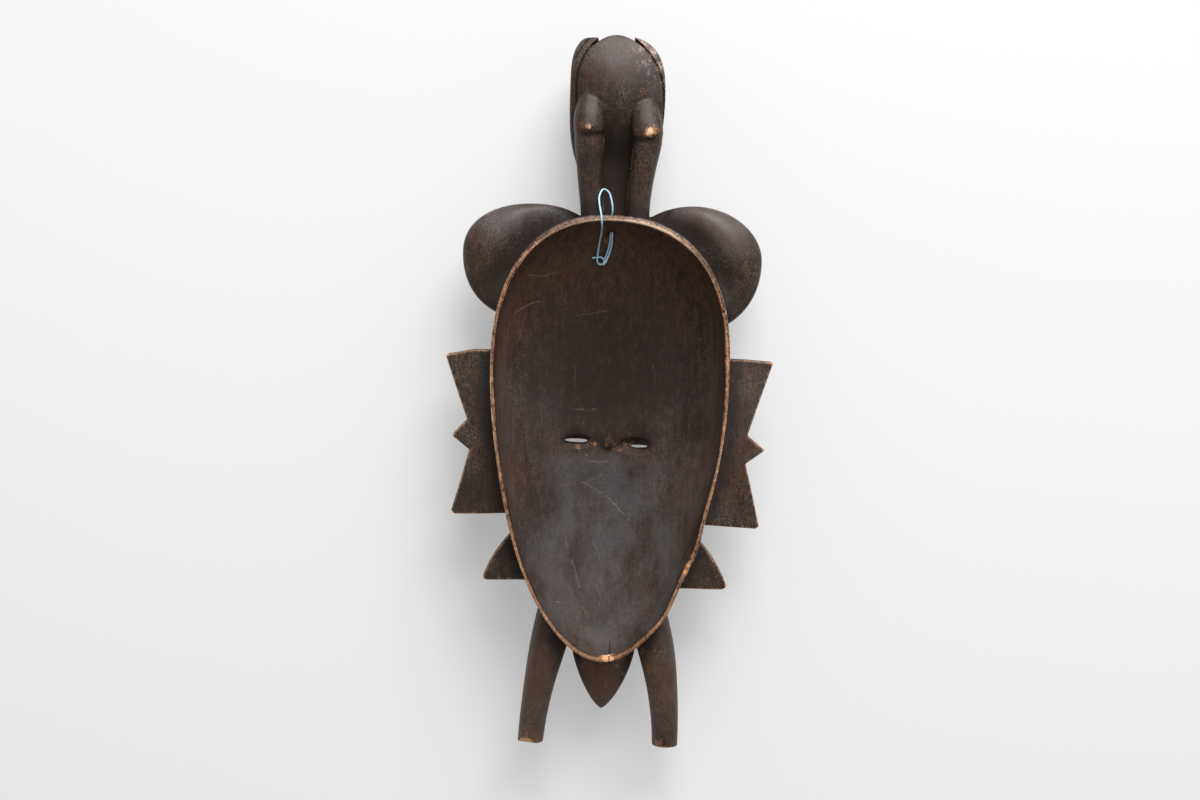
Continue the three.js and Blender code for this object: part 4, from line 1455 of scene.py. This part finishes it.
# What the wood's material reads at each point, painted shade, light and sheen among it
def surfaceMarks(points, outward, inside, scratch):
    calm = 1 - ease(points[:, 1], 146, 160) * (0.8 - 0.4 * ease(points[:, 0], 4, 12))
    # grooves are darkened as painted shade
    creviceShade = np.clip(-sharpness(points, 0.7) * 0.5 - 0.12, 0, 1) * (1 - inside)
    return {
        "scratch": scratch,
        "edge": np.clip(sharpness(points, 1.1) * 0.5, 0, 1) * (1 - inside) * calm,
        "rim": rimWear(points),
        "rubbed": wornBy(points, outward),
        "shutInShade": np.maximum(shutIn(points, outward) * (1 - 0.75 * inside), creviceShade),
        "inside": inside,
        "toneAndPaintedLight": toneAndPaintedLightAt(points, inside),
        "paintedSheenAndRedness": paintedSheenAndRednessAt(points, inside),
    }


def addMask():
    buildClay()
    step = carving["gridStep"] * 1
    low = np.array([-carving["gridHalfWidth"], carving["legEnd"] - 4, -3.2])
    high = np.array([carving["gridHalfWidth"], carving["gridTop"], carving["rimHeight"] + 4])
    vertices, faces = skinOf(clayGrid(low, high, step), low, step)
    print(f"skin: {len(vertices)} vertices")
    vertices = settled(settled(vertices.astype(np.float32)))
    mesh = refined(thinned(meshOf("mask", vertices, faces), carving["triangles"]))
    points = settled(verticesOf(mesh))
    slope = slopeAt(points)
    outward = slope / np.linalg.norm(slope, axis=1, keepdims=True)
    inside = insideOf(points)
    scratch = scratchesAt(points) * inside
    points = points - outward * (carving["scratchDepth"] * scratch[:, None])
    for name, values in surfaceMarks(points, outward, inside, scratch).items():
        layer = mesh.attributes.new(name, "FLOAT", "POINT")
        layer.data.foreach_set("value", np.asarray(values, np.float32))
    mesh.vertices.foreach_set("co", ((points + np.array(shift)) * mm).astype(np.float32).ravel())
    mesh.polygons.foreach_set("use_smooth", np.ones(len(mesh.polygons), bool))
    mesh.materials.append(woodMaterial())
    mesh.update()
    piece = linked("carved_mask", mesh)
    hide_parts("mask")
    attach(piece, "root")
    print(f"mask: {len(mesh.vertices)} vertices, {len(mesh.polygons)} faces")


addMask()


# Floor and light, in metres
studio = {
    "floorSize": 6.0,
    "floorColour": colour(0.42, 0.42, 0.42),
    "floorDark": colour(0.36, 0.36, 0.36),
    "floorGlow": 0.31,  # the floor glows like a light table
    "skyBright": colour(0.95, 0.97, 1.0),
    "skyDim": colour(0.40, 0.39, 0.38),
    "skyTowards": (0.20, 0.45, -0.75),  # where it is bright
    "skySpan": (-0.75, 0.45),  # dim and bright end, along that direction
    # place, target, size, power and tint
    "lights": {
        "window": ((0.35, 1.60, 1.30), (0, 0.05, 0), 1.4, 60, (1.0, 0.99, 0.99)),
        "overhead": ((0.10, 1.05, 1.95), (0, 0, 0), 1.1, 7, (0.86, 0.93, 1.0)),
    },
}


def addFloor():
    half = studio["floorSize"] / 2
    corners = [(-half, -half, 0), (half, -half, 0), (half, half, 0), (-half, half, 0)]
    mesh = bpy.data.meshes.new("floor")
    mesh.from_pydata(corners, [], [(0, 1, 2, 3)])
    w = Shader("floor")
    shade = w.noise((400, 400, 400), detail=2)
    mesh.materials.append(w.surface({
        "Base Color": w.mixed(shade * 0.1, studio["floorColour"], studio["floorDark"]), "Roughness": 0.9,
        "Emission Color": colour(1.0, 1.0, 1.0), "Emission Strength": studio["floorGlow"],
    }))
    linked("floor", mesh)


def addLight(name, place, target, size, power, tint):
    data = bpy.data.lights.new(name, "AREA")
    data.shape = "DISK"
    data.size = size
    data.energy = power
    data.color = tint
    light = linked(name, data)
    light.location = place
    light.rotation_euler = (Vector(target) - Vector(place)).to_track_quat("-Z", "Y").to_euler()


# The sky is dim overhead and bright low down, most of all beyond the crest
def addSky():
    world = bpy.data.worlds.new("sky")
    world.use_nodes = True
    w = Nodes(world.node_tree)
    w.tree.nodes.clear()
    inputs = {0: w.node("ShaderNodeTexCoord", {}, {}, "Generated"), 1: studio["skyTowards"]}
    along = w.node("ShaderNodeVectorMath", {"operation": "DOT_PRODUCT"}, inputs, "Value")
    dim, bright = studio["skySpan"]
    share = w.node("ShaderNodeMapRange", {}, {"Value": along, "From Min": dim, "From Max": bright})
    inputs = {"Color": w.mixed(share, studio["skyDim"], studio["skyBright"]), "Strength": 1.0}
    w.node("ShaderNodeOutputWorld", {}, {"Surface": w.node("ShaderNodeBackground", {}, inputs)})
    bpy.context.scene.world = world


addFloor()
for name, values in studio["lights"].items():
    addLight(name, *values)
addSky()
bpy.context.scene.view_settings.view_transform = "Standard"
print("floor and light in place")
